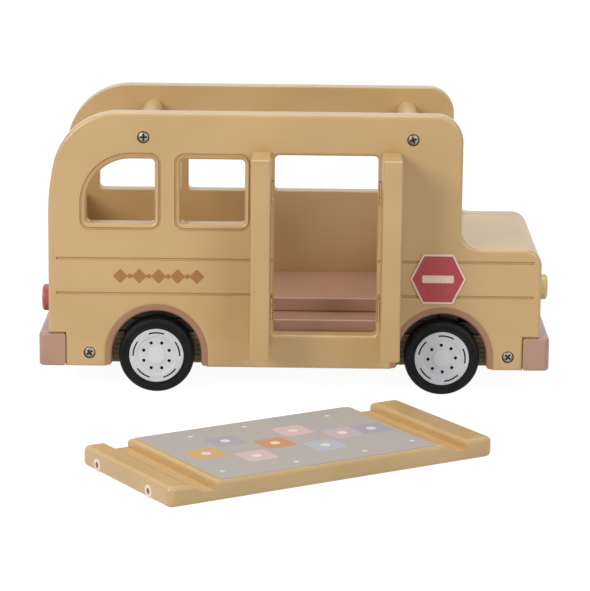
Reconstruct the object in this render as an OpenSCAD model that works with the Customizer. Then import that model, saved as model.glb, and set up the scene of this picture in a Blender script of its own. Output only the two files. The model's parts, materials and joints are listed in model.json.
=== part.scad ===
// Wooden toy bus: two routed side panels on cross walls and axle blocks, double doors that
// swing outwards, two rolling wheelsets and a roof board that hooks over two dowels.
// Millimetres. +X is the front of the bus, -Y its door side (the right-hand side), and Z = 0
// the ground. The roof board is taken off: it lies upside down on the ground beside the door.

/* [Panel lengths] */
// Rear edge of a side panel to the rear window
rear_post_l = 22.8; // [19:0.2:28]
// Rear window opening, along the bus
rear_window_l = 41.2; // [36:0.2:48]
// Post between the two windows
mid_post_l = 15.5; // [12:0.5:20]
// Second window opening, along the bus
second_window_l = 38.5; // [32:0.5:46]
// Post between the second window and the door
door_post_l = 17.8; // [16:0.2:24]
// Door opening, along the bus
door_l = 61.9; // [54:0.1:70]
// Door's rear edge to the rear end of the long window opposite it
long_window_rear = 1.4; // [0:0.1:3]
// Door's front edge to the front end of the long window opposite it
long_window_front = 6; // [0:0.1:10]
// Door opening to the windscreen edge
front_post_l = 50.4; // [46:0.2:60]
// Windscreen edge to the nose of the hood
hood_l = 48.8; // [44:0.2:60]

/* [Panel heights and thickness] */
// Width over both side panels
body_w = 128.4; // [112:0.2:150]
// Thickness of the side panels, cross walls and hood board
panel_t = 12; // [11:0.5:14]
// Ground to the bottom edge of the side panels
foot_z = 15.4; // [14:0.2:18]
// Bottom edge to top edge of the side panels
body_h = 155.4; // [152:0.2:170]
// Bottom edge to the top of the hood
hood_h = 74.6; // [70:0.2:80]
// Bottom edge to the lower belt groove
low_belt_h = 45.4; // [43:0.2:48]
// Bottom edge to the upper belt groove
high_belt_h = 66.7; // [60:0.2:70]
// Bottom edge to the window sills
sill_h = 88.1; // [85:0.1:90]
// Top edge to the upper edge of the windows
window_head = 27.9; // [26:0.1:34]
// Bottom edge to the top of the rear wall
rear_wall_h = 88; // [76:0.5:92]

/* [Panel corners] */
// Radius of the rear top corner
rear_top_r = 40; // [34:1:44]
// Radius of the long sweep that leads up to the rear top corner
rear_sweep_r = 150; // [140:1:200]
// Bottom edge to the start of that sweep
rear_sweep_h = 92.6; // [92:0.2:100]
// Radius of the front top corner
front_top_r = 16; // [10:0.5:22]
// Radius of the inside corner between windscreen edge and hood
screen_fillet_r = 11.5; // [6:0.5:14]
// Radius of the hood's nose
nose_r = 10; // [6:0.5:11]
// Corner radius of the windows
window_r = 2.6; // [2:0.1:6]
// Radius of the rear window's upper rear corner
rear_window_top_r = 27; // [20:0.5:30]

/* [Routed grooves] */
// Width of every routed groove
groove_w = 1.8; // [1.2:0.1:2.4]
// Depth of every routed groove
groove_d = 1; // [0.6:0.1:2]
// Window edge to the middle of the groove around it
ring_gap = 3; // [2.4:0.1:3.2]
// Rear edge and nose to the ends of the belt grooves
belt_margin = 4.7; // [3:0.1:8]

/* [Door] */
// Bottom edge to the door sill
door_sill_h = 20.6; // [19:0.1:24]
// Height of the door opening
door_h = 109.9; // [104:0.1:112]
// Corner radius of the door opening
door_r = 2.7; // [2:0.1:6]
// Thickness of a door leaf
leaf_t = 11.6; // [9:0.1:13]
// Opening edge to the hinge axis
leaf_reveal = 1.7; // [1.2:0.1:2.2]
// Height of a leaf above the opening
leaf_head = 2.8; // [2:0.1:5]
// Height of a leaf below the sill
leaf_foot = 8.6; // [5:0.1:12]
// Clearance between a leaf and the panel, open or shut
leaf_clear = 0.3; // [0.2:0.05:0.6]
// Gap between the leaves when they are shut
leaf_gap = 0.6; // [0.4:0.1:2]

/* [Hinges] */
// Radius of the hinge pins
pin_r = 0.6; // [0.5:0.05:0.7]
// Radius of the hinge knuckles
knuckle_r = 1.3; // [1.2:0.05:1.6]
// Height of a hinge
hinge_h = 14; // [10:0.5:18]
// Length of a hinge plate from the axis
plate_l = 9; // [6:0.5:9]
// Thickness of a hinge plate
plate_t = 0.8; // [0.6:0.1:1]
// Leaf end to the middle of the nearer hinge
hinge_inset = 25; // [20:0.5:30]
// Running clearance of the pin in the leaf's knuckle
pin_clear = 0.05; // [0.02:0.01:0.1]

/* [Floor and axle blocks] */
// Bottom edge to the cabin floor
floor_h = 35.8; // [34:0.2:38]
// Thickness of the floor board
floor_t = 8.5; // [7:0.1:10]
// Thickness of the base board, which is also the door step
base_t = 8.5; // [7:0.1:10]
// Side panel to the long edges of the base board
base_inset = 2; // [1:0.1:4]
// Depth of the step well inside the door
well_d = 25; // [18:0.5:34]
// Door opening to the ends of the step well
well_margin = 4; // [2:0.5:8]

/* [Wheels] */
// Tyre radius
wheel_r = 22.8; // [21:0.1:24]
// Rim radius
rim_r = 16.5; // [15.5:0.1:18]
// Radius of a tyre's shoulders
shoulder_r = 2.8; // [2:0.1:4]
// Height of the wheels' outer faces above the side panels
wheel_proud = 1; // [0.5:0.1:3]
// Gap between a wheel and the axle block
wheel_gap = 0.5; // [0.4:0.1:1]
// Radius of the axles
axle_r = 2.5; // [2:0.1:3]
// Running clearance of an axle in its block
axle_clear = 0.06; // [0.03:0.01:0.1]
// Rear edge of the panels to the rear axle
rear_axle_l = 65.2; // [63:0.1:70]
// Nose of the panels to the front axle
front_axle_l = 59.1; // [57:0.1:64]
// Gap between a tyre and its arch liner
arch_gap = 4.1; // [3:0.1:6]
// Height of the arch centre above the axle
arch_rise = 0.2; // [0:0.1:2]
// Thickness of an arch liner
liner_t = 3.6; // [2.5:0.1:4.5]

/* [Rim face] */
// Radius of the hub cap
cap_r = 5.3; // [4:0.1:6]
// Depth of the rim's dished ring, and height of the hub cap in it
dish_d = 0.5; // [0.3:0.1:1]
// Outer radius of the dished ring
dish_r = 11.7; // [10.5:0.1:12.5]
// Number of round vents
vents = 8; // [5:1:10]
// Radius of the vents' circle
vent_ring_r = 8.3; // [7.5:0.1:9]
// Radius of a vent
vent_r = 1; // [0.6:0.1:1.2]
// Number of curved slots
slots = 5; // [3:1:6]
// Middle radius of the slots
slot_ring_r = 14.1; // [13.5:0.1:14.6]
// Width of a slot
slot_w = 0.9; // [0.6:0.1:1.2]
// Angle that each slot spans
slot_angle = 38; // [20:1:50]
// Depth of vents and slots
vent_d = 1.5; // [1:0.1:2.5]
// Thickness of the rim outside the axle's end
hub_skin = 4; // [3.5:0.1:5]

/* [Bumpers, lamps and sign] */
// Height of the bumpers
bumper_h = 20.3; // [17:0.1:21]
// How far the bumpers stand out of the body
bumper_reach = 6; // [4:0.1:10]
// How far the bumpers are let into the side panels
bumper_notch = 10.1; // [8:0.1:11]
// Radius of the bumpers' outer corners
bumper_r = 4; // [2:0.1:6]
// Radius of the headlights
headlight_r = 7.7; // [6:0.1:9]
// Bottom edge to the middle of the headlights
headlight_h = 48; // [44:0.1:50]
// Radius of the tail lights
taillight_r = 8.1; // [6:0.1:9]
// Bottom edge to the middle of the tail lights
taillight_h = 38; // [35:0.1:45]
// How far lamps stand out of the body
lamp_reach = 5.4; // [3:0.1:8]
// Side panel's outer face to the middle of a lamp
lamp_inset = 21; // [21:0.5:30]
// Radius of the lamps' front edges
lamp_round = 1.6; // [0.8:0.1:2.5]
// Width of the six-sided sign, from corner to corner
sign_w = 33.5; // [28:0.1:34]
// Height of the sign
sign_tall = 30.4; // [26:0.1:31]
// Length of the sign's upper and lower edges
sign_edge_l = 18.4; // [14:0.1:20]
// Thickness of the sign
sign_t = 1; // [0.5:0.1:2]
// Windscreen edge to the middle of the sign
sign_l = 13.6; // [10:0.1:16]
// Bottom edge to the middle of the sign
sign_h = 56.5; // [55:0.1:57]

/* [Screws] */
// Radius of the screw heads
screw_head_r = 3.5; // [3:0.1:4]
// Height of the screw heads
screw_head_h = 2.2; // [1.5:0.1:3]
// Radius of the screw shanks
screw_r = 1.75; // [1.5:0.05:2]
// Length of the screws
screw_l = 28; // [22:0.5:34]
// How far the heads lie below the panel's face
screw_sink = 0.3; // [0.1:0.1:1]
// Clearance around screws in the side panels
screw_clear = 0.2; // [0.1:0.05:0.4]
// Bumper notch to the rear lower screws
rear_screw_l = 14.6; // [12:0.1:16]
// Bumper notch to the front lower screws
front_screw_l = 9; // [7:0.1:11]
// Bottom edge to the lower screws
low_screw_h = 8.5; // [6:0.1:10]

/* [Roof board and dowels] */
// Radius of the dowels
dowel_r = 6; // [5:0.1:7]
// Rear edge of the panels to the rear dowel
rear_dowel_l = 57.3; // [52:0.1:60]
// Windscreen edge to the front dowel
front_dowel_l = 30; // [26:0.5:34]
// Top edge of the panels to the dowels' axes
dowel_drop = 14.7; // [13:0.1:16]
// Width of the roof board
roof_w = 98.2; // [84:0.2:102]
// Thickness of the roof board
roof_t = 11.4; // [10:0.1:14]
// Depth of the two dowel grooves
roof_groove_d = 5; // [4:0.1:7]
// Length of the lip in front of the front groove
roof_front_lip = 11; // [8:0.5:16]
// Length of the ramp into a groove
roof_ramp_l = 10.5; // [8:0.1:14]
// Flat length of a groove, up to its upright wall
roof_seat_l = 7.2; // [6.5:0.1:9]
// Length of the lip behind the rear groove
roof_back_lip = 18.2; // [14:0.1:26]
// Radius of the board's upright corners
roof_corner_r = 4; // [1:0.1:6]
// Margin around the printed play mat
mat_margin = 1.6; // [1:0.1:5]
// Front groove's wall to the play mat
mat_front_margin = 4; // [1:0.1:6]
// Thickness of the play mat's film
mat_t = 0.4; // [0.2:0.1:0.8]
// Radius of the round markers on the board's front end
marker_r = 3.6; // [2.5:0.1:4]
// Thickness of the markers
marker_t = 0.6; // [0.4:0.1:1]
// Long edge of the board to the first marker
marker_l = 22.7; // [10:0.1:24]
// Distance between the two markers
marker_pitch = 57.7; // [50:0.1:58]
// Height of the markers above the ground
marker_z = 4.2; // [4.2:0.1:5]

/* [Roof board on the ground] */
// Middle of the bus to the board's nearest corner, along the bus
roof_place_x = -64; // [-80:0.5:-40]
// Side panel to the board's nearest corner, across the bus
roof_place_y = 246.6; // [230:0.2:280]
// Turn of the board against the bus
roof_turn = 31.9; // [20:0.1:40]

/* [Hidden] */
right = -1;
left = 1;
$fn = 64;
// Steps in each rounded corner of an outline
arc_steps = 10;
// Overrun of every cut past the face that it opens
over = 1;

wood_tan = "#d9b778";
wood_pale = "#c9a06c";
terracotta = "#b98268";

// Places along the bus, from the middle of its side panels
body_l = rear_post_l + rear_window_l + mid_post_l + second_window_l + door_post_l + door_l
    + front_post_l + hood_l;
rear_x = -body_l / 2;
nose_x = body_l / 2;
rear_window_x = rear_x + rear_post_l;
second_window_x = rear_window_x + rear_window_l + mid_post_l;
door_x = second_window_x + second_window_l + door_post_l;
screen_x = nose_x - hood_l;
rear_axle_x = rear_x + rear_axle_l;
front_axle_x = nose_x - front_axle_l;
rear_dowel_x = rear_x + rear_dowel_l;
front_dowel_x = screen_x - front_dowel_l;
rear_screw_x = rear_x + bumper_notch + rear_screw_l;
front_screw_x = nose_x - bumper_notch - front_screw_l;
sign_x = screen_x - sign_l;

// Heights above the ground
top_z = foot_z + body_h;
hood_z = foot_z + hood_h;
sill_z = foot_z + sill_h;
window_h = body_h - sill_h - window_head;
door_sill_z = foot_z + door_sill_h;
bumper_top_z = foot_z + bumper_h;
floor_z = foot_z + floor_h;
base_z = floor_z - floor_t;
block_top_z = base_z - base_t;
dowel_z = top_z - dowel_drop;
low_screw_z = foot_z + low_screw_h;
arch_z = wheel_r + arch_rise;
arch_r = wheel_r + arch_gap + liner_t;

// Widths
inner_w = body_w - 2 * panel_t;
wheel_w = panel_t + wheel_proud - wheel_gap;
axle_l = body_w + 2 * (wheel_proud - hub_skin);

// Door leaves and hinges
hinge_axis_l = door_l + 2 * leaf_reveal;
leaf_w = (hinge_axis_l - leaf_gap) / 2;
leaf_z = door_sill_z - leaf_foot;
leaf_h = leaf_foot + door_h + leaf_head;
hinge_zs = [leaf_z + hinge_inset, leaf_z + leaf_h - hinge_inset];
knuckle_h = hinge_h / 3;
relief_r = knuckle_r + leaf_clear;
relief_h = hinge_h + 2 * leaf_clear;

// Roof board
dowel_pitch = front_dowel_x - rear_dowel_x;
front_wall_s = roof_front_lip + roof_ramp_l + roof_seat_l;
back_wall_s = front_wall_s + dowel_pitch;
roof_l = back_wall_s + roof_back_lip;
roof_floor_z = roof_t - roof_groove_d;
marker_ws = [marker_l, marker_l + marker_pitch];

// The set's middle, between the far wheels and the board's nearest rounded corner
roof_tip = roof_corner_r * (sin(roof_turn) + cos(roof_turn) - 1);
set_near_y = -body_w / 2 - roof_place_y + roof_tip;
set_far_y = body_w / 2 + wheel_proud;
bus_y = -(set_near_y + set_far_y) / 2;

// Points of an arc about a centre, from one angle to another
function arc(centre, r, from, to) = [for (i = [0:arc_steps])
    let (a = from + (to - from) * i / arc_steps) centre + r * [cos(a), sin(a)]];

// Outline of a rectangle with rounded corners, grown on all sides, with its own radius at the
// upper corner with the lower first coordinate
function rounded(x, z, l, h, r, top_r, grow = 0) = let (
    x0 = x - grow, x1 = x + l + grow, z0 = z - grow, z1 = z + h + grow,
    q = r + grow, t = top_r + grow) concat(
    arc([x0 + q, z0 + q], q, 180, 270), arc([x1 - q, z0 + q], q, 270, 360),
    arc([x1 - q, z1 - q], q, 0, 90), arc([x0 + t, z1 - t], t, 90, 180));

function rear_window(grow = 0) = rounded(rear_window_x, sill_z, rear_window_l, window_h,
    window_r, min(rear_window_top_r, window_h - window_r), grow);
function second_window(grow = 0) = rounded(second_window_x, sill_z, second_window_l, window_h,
    window_r, window_r, grow);
function long_window(grow = 0) = rounded(door_x - long_window_rear, sill_z,
    door_l + long_window_rear + long_window_front, window_h, window_r, window_r, grow);
function door_opening() = rounded(door_x, door_sill_z, door_l, door_h, door_r, door_r);

// Everything that stands on the wheels
module in_bus() {
    translate([0, bus_y, 0]) children();
}

// An outline in X and Z, made solid from one Y towards +Y
module upright(y, t) {
    translate([0, y + t, 0]) rotate([90, 0, 0]) linear_extrude(t) children();
}

// A box between two corners
module block(low, high) {
    translate(low) cube(high - low);
}

// A place on a side panel's outer face, with +Z inwards
module inward(x, z, side) {
    translate([x, side * body_w / 2, z]) rotate([side * 90, 0, 0]) children();
}

// A wheel's inner face, with +Z outwards
module at_wheel(x, side) {
    translate([x, side * (body_w / 2 + wheel_proud - wheel_w), wheel_r])
        rotate([-side * 90, 0, 0]) children();
}

// The hinge axis of one leaf, seen as the rear one
module at_hinge(end) {
    middle = door_x + door_l / 2;
    translate([middle, -body_w / 2, 0]) mirror([end == "front" ? 1 : 0, 0, 0])
        translate([-hinge_axis_l / 2, 0, 0]) children();
}

// The roof board's nearest corner on the ground, with +X along the board
module at_roof() {
    in_bus() translate([roof_place_x, -body_w / 2 - roof_place_y, 0])
        rotate([0, 0, roof_turn]) children();
}

// Side panels

module panel_outline() {
    sweep = [rear_x + rear_sweep_r, foot_z + rear_sweep_h];
    corner_z = top_z - rear_top_r;
    rise = corner_z - sweep.y;
    run = sqrt(pow(rear_sweep_r - rear_top_r, 2) - pow(rise, 2));
    meet = 180 - atan2(rise, run);
    polygon(concat(
        [[rear_x + bumper_notch, foot_z], [rear_x + bumper_notch, bumper_top_z],
            [rear_x, bumper_top_z]],
        arc(sweep, rear_sweep_r, 180, meet),
        arc([sweep.x - run, corner_z], rear_top_r, meet, 90),
        arc([screen_x - front_top_r, top_z - front_top_r], front_top_r, 90, 0),
        arc([screen_x + screen_fillet_r, hood_z + screen_fillet_r], screen_fillet_r, 180, 270),
        arc([nose_x - nose_r, hood_z - nose_r], nose_r, 90, 0),
        [[nose_x, bumper_top_z], [nose_x - bumper_notch, bumper_top_z],
            [nose_x - bumper_notch, foot_z]]));
}

// A round-topped wheel arch whose legs run down past the bottom edge
module arch(x, r, past) {
    translate([x, arch_z]) intersection() {
        circle(r);
        translate([-r, 0]) square([2 * r, r]);
    }
    translate([x - r, foot_z - past]) square([2 * r, arch_z - foot_z + past]);
}

module ring_groove(outer, inner) {
    difference() {
        polygon(outer);
        polygon(inner);
    }
}

module groove_lines(side) {
    half = groove_w / 2;
    ring_groove(rear_window(ring_gap + half), rear_window(ring_gap - half));
    ring_groove(second_window(ring_gap + half), second_window(ring_gap - half));
    if (side == left)
        ring_groove(long_window(ring_gap + half), long_window(ring_gap - half));
    for (h = [low_belt_h, high_belt_h])
        translate([rear_x + belt_margin, foot_z + h - half])
            square([body_l - 2 * belt_margin, groove_w]);
}

// The hole of one screw, counterbored for its head
module screw_hole() {
    translate([0, 0, -over])
        cylinder(h = screw_sink + screw_head_h + over, r = screw_head_r + screw_clear);
    cylinder(h = panel_t + over, r = screw_r + screw_clear);
}

module side_panel(side) {
    inner_y = side == right ? -body_w / 2 : body_w / 2 - panel_t;
    groove_y = side == right ? -body_w / 2 - over : body_w / 2 - groove_d;
    color(wood_tan) difference() {
        upright(inner_y, panel_t) difference() {
            panel_outline();
            polygon(rear_window());
            polygon(second_window());
            polygon(side == right ? door_opening() : long_window());
            for (x = [rear_axle_x, front_axle_x]) arch(x, arch_r, over);
        }
        upright(groove_y, groove_d + over) groove_lines(side);
        for (x = [rear_dowel_x, front_dowel_x]) inward(x, dowel_z, side) screw_hole();
        for (x = [rear_screw_x, front_screw_x]) inward(x, low_screw_z, side) screw_hole();
        if (side == right)
            for (end = ["rear", "front"], z = hinge_zs) at_hinge(end) {
                translate([0, 0, z - relief_h / 2]) cylinder(h = relief_h, r = relief_r);
                block([-plate_l, -over, z - hinge_h / 2], [0, plate_t, z + hinge_h / 2]);
            }
    }
}

module arch_liner(x, side) {
    y = side == right ? -body_w / 2 : body_w / 2 - panel_t;
    color(terracotta) upright(y, panel_t) difference() {
        arch(x, arch_r, 0);
        arch(x, arch_r - liner_t, over);
    }
}

// Cross walls and boards

module rear_wall() {
    color(wood_tan)
        block([rear_x, -inner_w / 2, bumper_top_z],
            [rear_x + panel_t, inner_w / 2, foot_z + rear_wall_h]);
}

module front_wall() {
    color(wood_tan)
        block([nose_x - panel_t, -inner_w / 2, bumper_top_z],
            [nose_x, inner_w / 2, hood_z - panel_t]);
}

module hood_board() {
    color(wood_tan) upright(-inner_w / 2, inner_w) polygon(concat(
        [[screen_x, hood_z], [screen_x, hood_z - panel_t], [nose_x, hood_z - panel_t]],
        arc([nose_x - nose_r, hood_z - nose_r], nose_r, 0, 90)));
}

module dash_board() {
    color(wood_tan)
        block([screen_x - panel_t, -inner_w / 2, base_z], [screen_x, inner_w / 2, hood_z]);
}

module base_board() {
    half = inner_w / 2 - base_inset;
    color(terracotta)
        block([rear_x + panel_t, -half, block_top_z], [nose_x - panel_t, half, base_z]);
}

module floor_board() {
    color(terracotta) difference() {
        block([rear_x + panel_t, -inner_w / 2, base_z], [screen_x - panel_t, inner_w / 2, floor_z]);
        block([door_x - well_margin, -inner_w / 2 - over, base_z - over],
            [door_x + door_l + well_margin, -inner_w / 2 + well_d, floor_z + over]);
    }
}

// Pilot holes in what the screws of both sides bite into
module pilots(x, z) {
    for (side = [right, left])
        inward(x, z, side) cylinder(h = screw_sink + screw_l, r = screw_r);
}

module axle_block(from_x, to_x, axle_x, screw_x) {
    color(wood_pale) difference() {
        block([from_x, -inner_w / 2, foot_z], [to_x, inner_w / 2, block_top_z]);
        translate([axle_x, inner_w / 2 + over, wheel_r]) rotate([90, 0, 0])
            cylinder(h = inner_w + 2 * over, r = axle_r + axle_clear);
        pilots(screw_x, low_screw_z);
    }
}

module rear_axle_block() {
    axle_block(rear_x + bumper_notch, rear_axle_x + arch_r, rear_axle_x, rear_screw_x);
}

module front_axle_block() {
    axle_block(front_axle_x - arch_r, nose_x - bumper_notch, front_axle_x, front_screw_x);
}

module dowel(x) {
    color(wood_tan) difference() {
        translate([x, inner_w / 2, dowel_z]) rotate([90, 0, 0])
            cylinder(h = inner_w, r = dowel_r);
        pilots(x, dowel_z);
    }
}

// Bumpers, lamps, sign and screws

module bumper() {
    half = body_w / 2;
    out = nose_x + bumper_reach;
    color(terracotta) translate([0, 0, foot_z]) linear_extrude(bumper_h) polygon(concat(
        [[nose_x - bumper_notch, half], [nose_x - bumper_notch, -half]],
        arc([out - bumper_r, bumper_r - half], bumper_r, -90, 0),
        arc([out - bumper_r, half - bumper_r], bumper_r, 0, 90)));
}

module lamp(r) {
    rotate_extrude() polygon(concat(
        [[0, lamp_reach], [0, 0], [r, 0]],
        arc([r - lamp_round, lamp_reach - lamp_round], lamp_round, 0, 90)));
}

module headlights() {
    color("#e3d27f") for (side = [right, left])
        translate([nose_x, side * (body_w / 2 - lamp_inset), foot_z + headlight_h])
            rotate([0, 90, 0]) lamp(headlight_r);
}

module taillights() {
    color("#b5524c") for (side = [right, left])
        translate([rear_x, side * (body_w / 2 - lamp_inset), foot_z + taillight_h])
            rotate([0, -90, 0]) lamp(taillight_r);
}

module sign_plate() {
    color("#b0474f") upright(-body_w / 2 - sign_t, sign_t)
        translate([sign_x, foot_z + sign_h]) polygon([for (side = [-1, 1]) each [
            [side * sign_w / 2, 0], [side * sign_edge_l / 2, side * sign_tall / 2],
            [-side * sign_edge_l / 2, side * sign_tall / 2]]]);
}

// One cross-head screw, its head outwards
module screw() {
    slot_l_share = 0.62;
    slot_w_share = 0.16;
    slot_d_share = 0.5;
    slot = 2 * screw_head_r * [slot_l_share, slot_w_share];
    depth = screw_head_h * slot_d_share;
    translate([0, 0, screw_sink]) difference() {
        union() {
            cylinder(h = screw_head_h, r = screw_head_r);
            cylinder(h = screw_l, r = screw_r);
        }
        for (turn = [0, 90]) rotate([0, 0, turn])
            translate([-slot.x / 2, -slot.y / 2, -over]) cube([slot.x, slot.y, depth + over]);
    }
}

module screws(xs, z) {
    color("#b9b4aa") for (x = xs, side = [right, left]) inward(x, z, side) screw();
}

// Wheelsets

module axle(x) {
    color("#c4c4c4") translate([x, axle_l / 2, wheel_r]) rotate([90, 0, 0])
        cylinder(h = axle_l, r = axle_r);
}

module tyre(x, side) {
    color("#26282a") at_wheel(x, side) rotate_extrude() polygon(concat(
        [[rim_r, wheel_w], [rim_r, 0]],
        arc([wheel_r - shoulder_r, shoulder_r], shoulder_r, -90, 0),
        arc([wheel_r - shoulder_r, wheel_w - shoulder_r], shoulder_r, 0, 90)));
}

module rim(x, side) {
    color("#dfe2e6") at_wheel(x, side) difference() {
        cylinder(h = wheel_w, r = rim_r);
        translate([0, 0, -over]) cylinder(h = wheel_w - hub_skin + over, r = axle_r);
        translate([0, 0, wheel_w - dish_d]) cylinder(h = dish_d + over, r = dish_r);
        for (i = [0:vents - 1]) rotate([0, 0, 360 * (i + 1 / 2) / vents])
            translate([vent_ring_r, 0, wheel_w - vent_d]) cylinder(h = vent_d + over, r = vent_r);
        for (i = [0:slots - 1]) rotate([0, 0, 90 + 360 * i / slots - slot_angle / 2])
            rotate_extrude(angle = slot_angle)
                translate([slot_ring_r - slot_w / 2, wheel_w - vent_d])
                    square([slot_w, vent_d + over]);
    }
}

module hub_cap(x, side) {
    color("#e6e7ea") at_wheel(x, side) translate([0, 0, wheel_w - dish_d])
        cylinder(h = dish_d, r = cap_r);
}

// Doors, open at a right angle to the panel

module door_leaf(end) {
    color(wood_tan) at_hinge(end) difference() {
        block([-leaf_clear - leaf_t, -leaf_w, leaf_z],
            [-leaf_clear, -leaf_clear, leaf_z + leaf_h]);
        for (z = hinge_zs) {
            translate([0, 0, z - relief_h / 2]) cylinder(h = relief_h, r = relief_r);
            block([-plate_l, -leaf_clear - plate_t, z - hinge_h / 2],
                [0, over, z + hinge_h / 2]);
        }
    }
}

// The panel's half of each hinge: a plate with the two outer knuckles
module hinge_plates(end) {
    color("#b9b4aa") at_hinge(end) for (z = hinge_zs) translate([0, 0, z - hinge_h / 2])
        difference() {
            union() {
                block([-plate_l, 0, 0], [0, plate_t, hinge_h]);
                cylinder(h = hinge_h, r = knuckle_r);
            }
            translate([0, 0, knuckle_h]) cylinder(h = knuckle_h, r = relief_r);
            translate([0, 0, -over]) cylinder(h = hinge_h + 2 * over, r = pin_r);
        }
}

// The leaf's half of each hinge: a plate with the middle knuckle
module leaf_plates(end) {
    color("#b9b4aa") at_hinge(end) for (z = hinge_zs) translate([0, 0, z - hinge_h / 2])
        difference() {
            union() {
                block([-plate_l, -leaf_clear - plate_t, 0], [0, -leaf_clear, hinge_h]);
                translate([0, 0, knuckle_h + leaf_clear])
                    cylinder(h = knuckle_h - 2 * leaf_clear, r = knuckle_r);
            }
            translate([0, 0, -over])
                cylinder(h = knuckle_h + leaf_clear + over, r = relief_r);
            translate([0, 0, hinge_h - knuckle_h - leaf_clear])
                cylinder(h = knuckle_h + leaf_clear + over, r = relief_r);
            translate([0, 0, -over])
                cylinder(h = hinge_h + 2 * over, r = pin_r + pin_clear);
        }
}

module hinge_pins(end) {
    color("#9f9a90") at_hinge(end) for (z = hinge_zs) translate([0, 0, z - hinge_h / 2])
        cylinder(h = hinge_h, r = pin_r);
}

// Roof board, upside down: its dowel grooves face up

// A groove in the board's lengthwise profile: a ramp down, a flat seat and an upright wall
function roof_groove(wall_s) = [
    [wall_s - roof_seat_l - roof_ramp_l, roof_t], [wall_s - roof_seat_l, roof_floor_z],
    [wall_s, roof_floor_z], [wall_s, roof_t]];

mat_from_s = front_wall_s + mat_front_margin;
mat_to_s = back_wall_s - roof_seat_l - roof_ramp_l - mat_margin;

module roof_board() {
    color(wood_tan) at_roof() difference() {
        intersection() {
            upright(0, roof_w) polygon(concat([[0, roof_t], [0, 0], [roof_l, 0],
                [roof_l, roof_t]], [for (i = [3:-1:0]) roof_groove(back_wall_s)[i]],
                [for (i = [3:-1:0]) roof_groove(front_wall_s)[i]]));
            linear_extrude(roof_t)
                polygon(rounded(0, 0, roof_l, roof_w, roof_corner_r, roof_corner_r));
        }
        block([mat_from_s, mat_margin, roof_t - mat_t],
            [mat_to_s, roof_w - mat_margin, roof_t + over]);
        for (w = marker_ws) translate([-over, w, marker_z]) rotate([0, 90, 0])
            cylinder(h = marker_t + over, r = marker_r);
    }
}

module play_mat() {
    color("#b7b0a6") at_roof() block([mat_from_s, mat_margin, roof_t - mat_t],
        [mat_to_s, roof_w - mat_margin, roof_t]);
}

module roof_markers() {
    color("#e8d9cf") at_roof() for (w = marker_ws) translate([0, w, marker_z])
        rotate([0, 90, 0]) cylinder(h = marker_t, r = marker_r);
}

in_bus() side_panel(right);  // right_side_panel
in_bus() side_panel(left);  // left_side_panel
in_bus() rear_wall();
in_bus() front_wall();
in_bus() hood_board();
in_bus() dash_board();
in_bus() base_board();
in_bus() floor_board();
in_bus() rear_axle_block();
in_bus() front_axle_block();
in_bus() dowel(rear_dowel_x);  // rear_dowel
in_bus() dowel(front_dowel_x);  // front_dowel
in_bus() mirror([1, 0, 0]) bumper();  // rear_bumper
in_bus() bumper();  // front_bumper
in_bus() headlights();
in_bus() taillights();
in_bus() arch_liner(rear_axle_x, right);  // rear_right_arch_liner
in_bus() arch_liner(rear_axle_x, left);  // rear_left_arch_liner
in_bus() arch_liner(front_axle_x, right);  // front_right_arch_liner
in_bus() arch_liner(front_axle_x, left);  // front_left_arch_liner
in_bus() sign_plate();
in_bus() screws([rear_dowel_x, front_dowel_x], dowel_z);  // upper_screws
in_bus() screws([rear_screw_x, front_screw_x], low_screw_z);  // lower_screws
in_bus() axle(rear_axle_x);  // rear_axle
in_bus() axle(front_axle_x);  // front_axle
in_bus() tyre(rear_axle_x, right);  // rear_right_tyre
in_bus() tyre(rear_axle_x, left);  // rear_left_tyre
in_bus() tyre(front_axle_x, right);  // front_right_tyre
in_bus() tyre(front_axle_x, left);  // front_left_tyre
in_bus() rim(rear_axle_x, right);  // rear_right_rim
in_bus() rim(rear_axle_x, left);  // rear_left_rim
in_bus() rim(front_axle_x, right);  // front_right_rim
in_bus() rim(front_axle_x, left);  // front_left_rim
in_bus() hub_cap(rear_axle_x, right);  // rear_right_hub_cap
in_bus() hub_cap(rear_axle_x, left);  // rear_left_hub_cap
in_bus() hub_cap(front_axle_x, right);  // front_right_hub_cap
in_bus() hub_cap(front_axle_x, left);  // front_left_hub_cap
in_bus() door_leaf("rear");  // rear_door_leaf
in_bus() door_leaf("front");  // front_door_leaf
in_bus() hinge_plates("rear");  // rear_hinge_plates
in_bus() hinge_plates("front");  // front_hinge_plates
in_bus() leaf_plates("rear");  // rear_leaf_plates
in_bus() leaf_plates("front");  // front_leaf_plates
in_bus() hinge_pins("rear");  // rear_hinge_pins
in_bus() hinge_pins("front");  // front_hinge_pins
roof_board();
play_mat();
roof_markers();
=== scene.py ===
import json
import math

import bmesh
import bpy
from mathutils import Matrix, Vector


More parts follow.
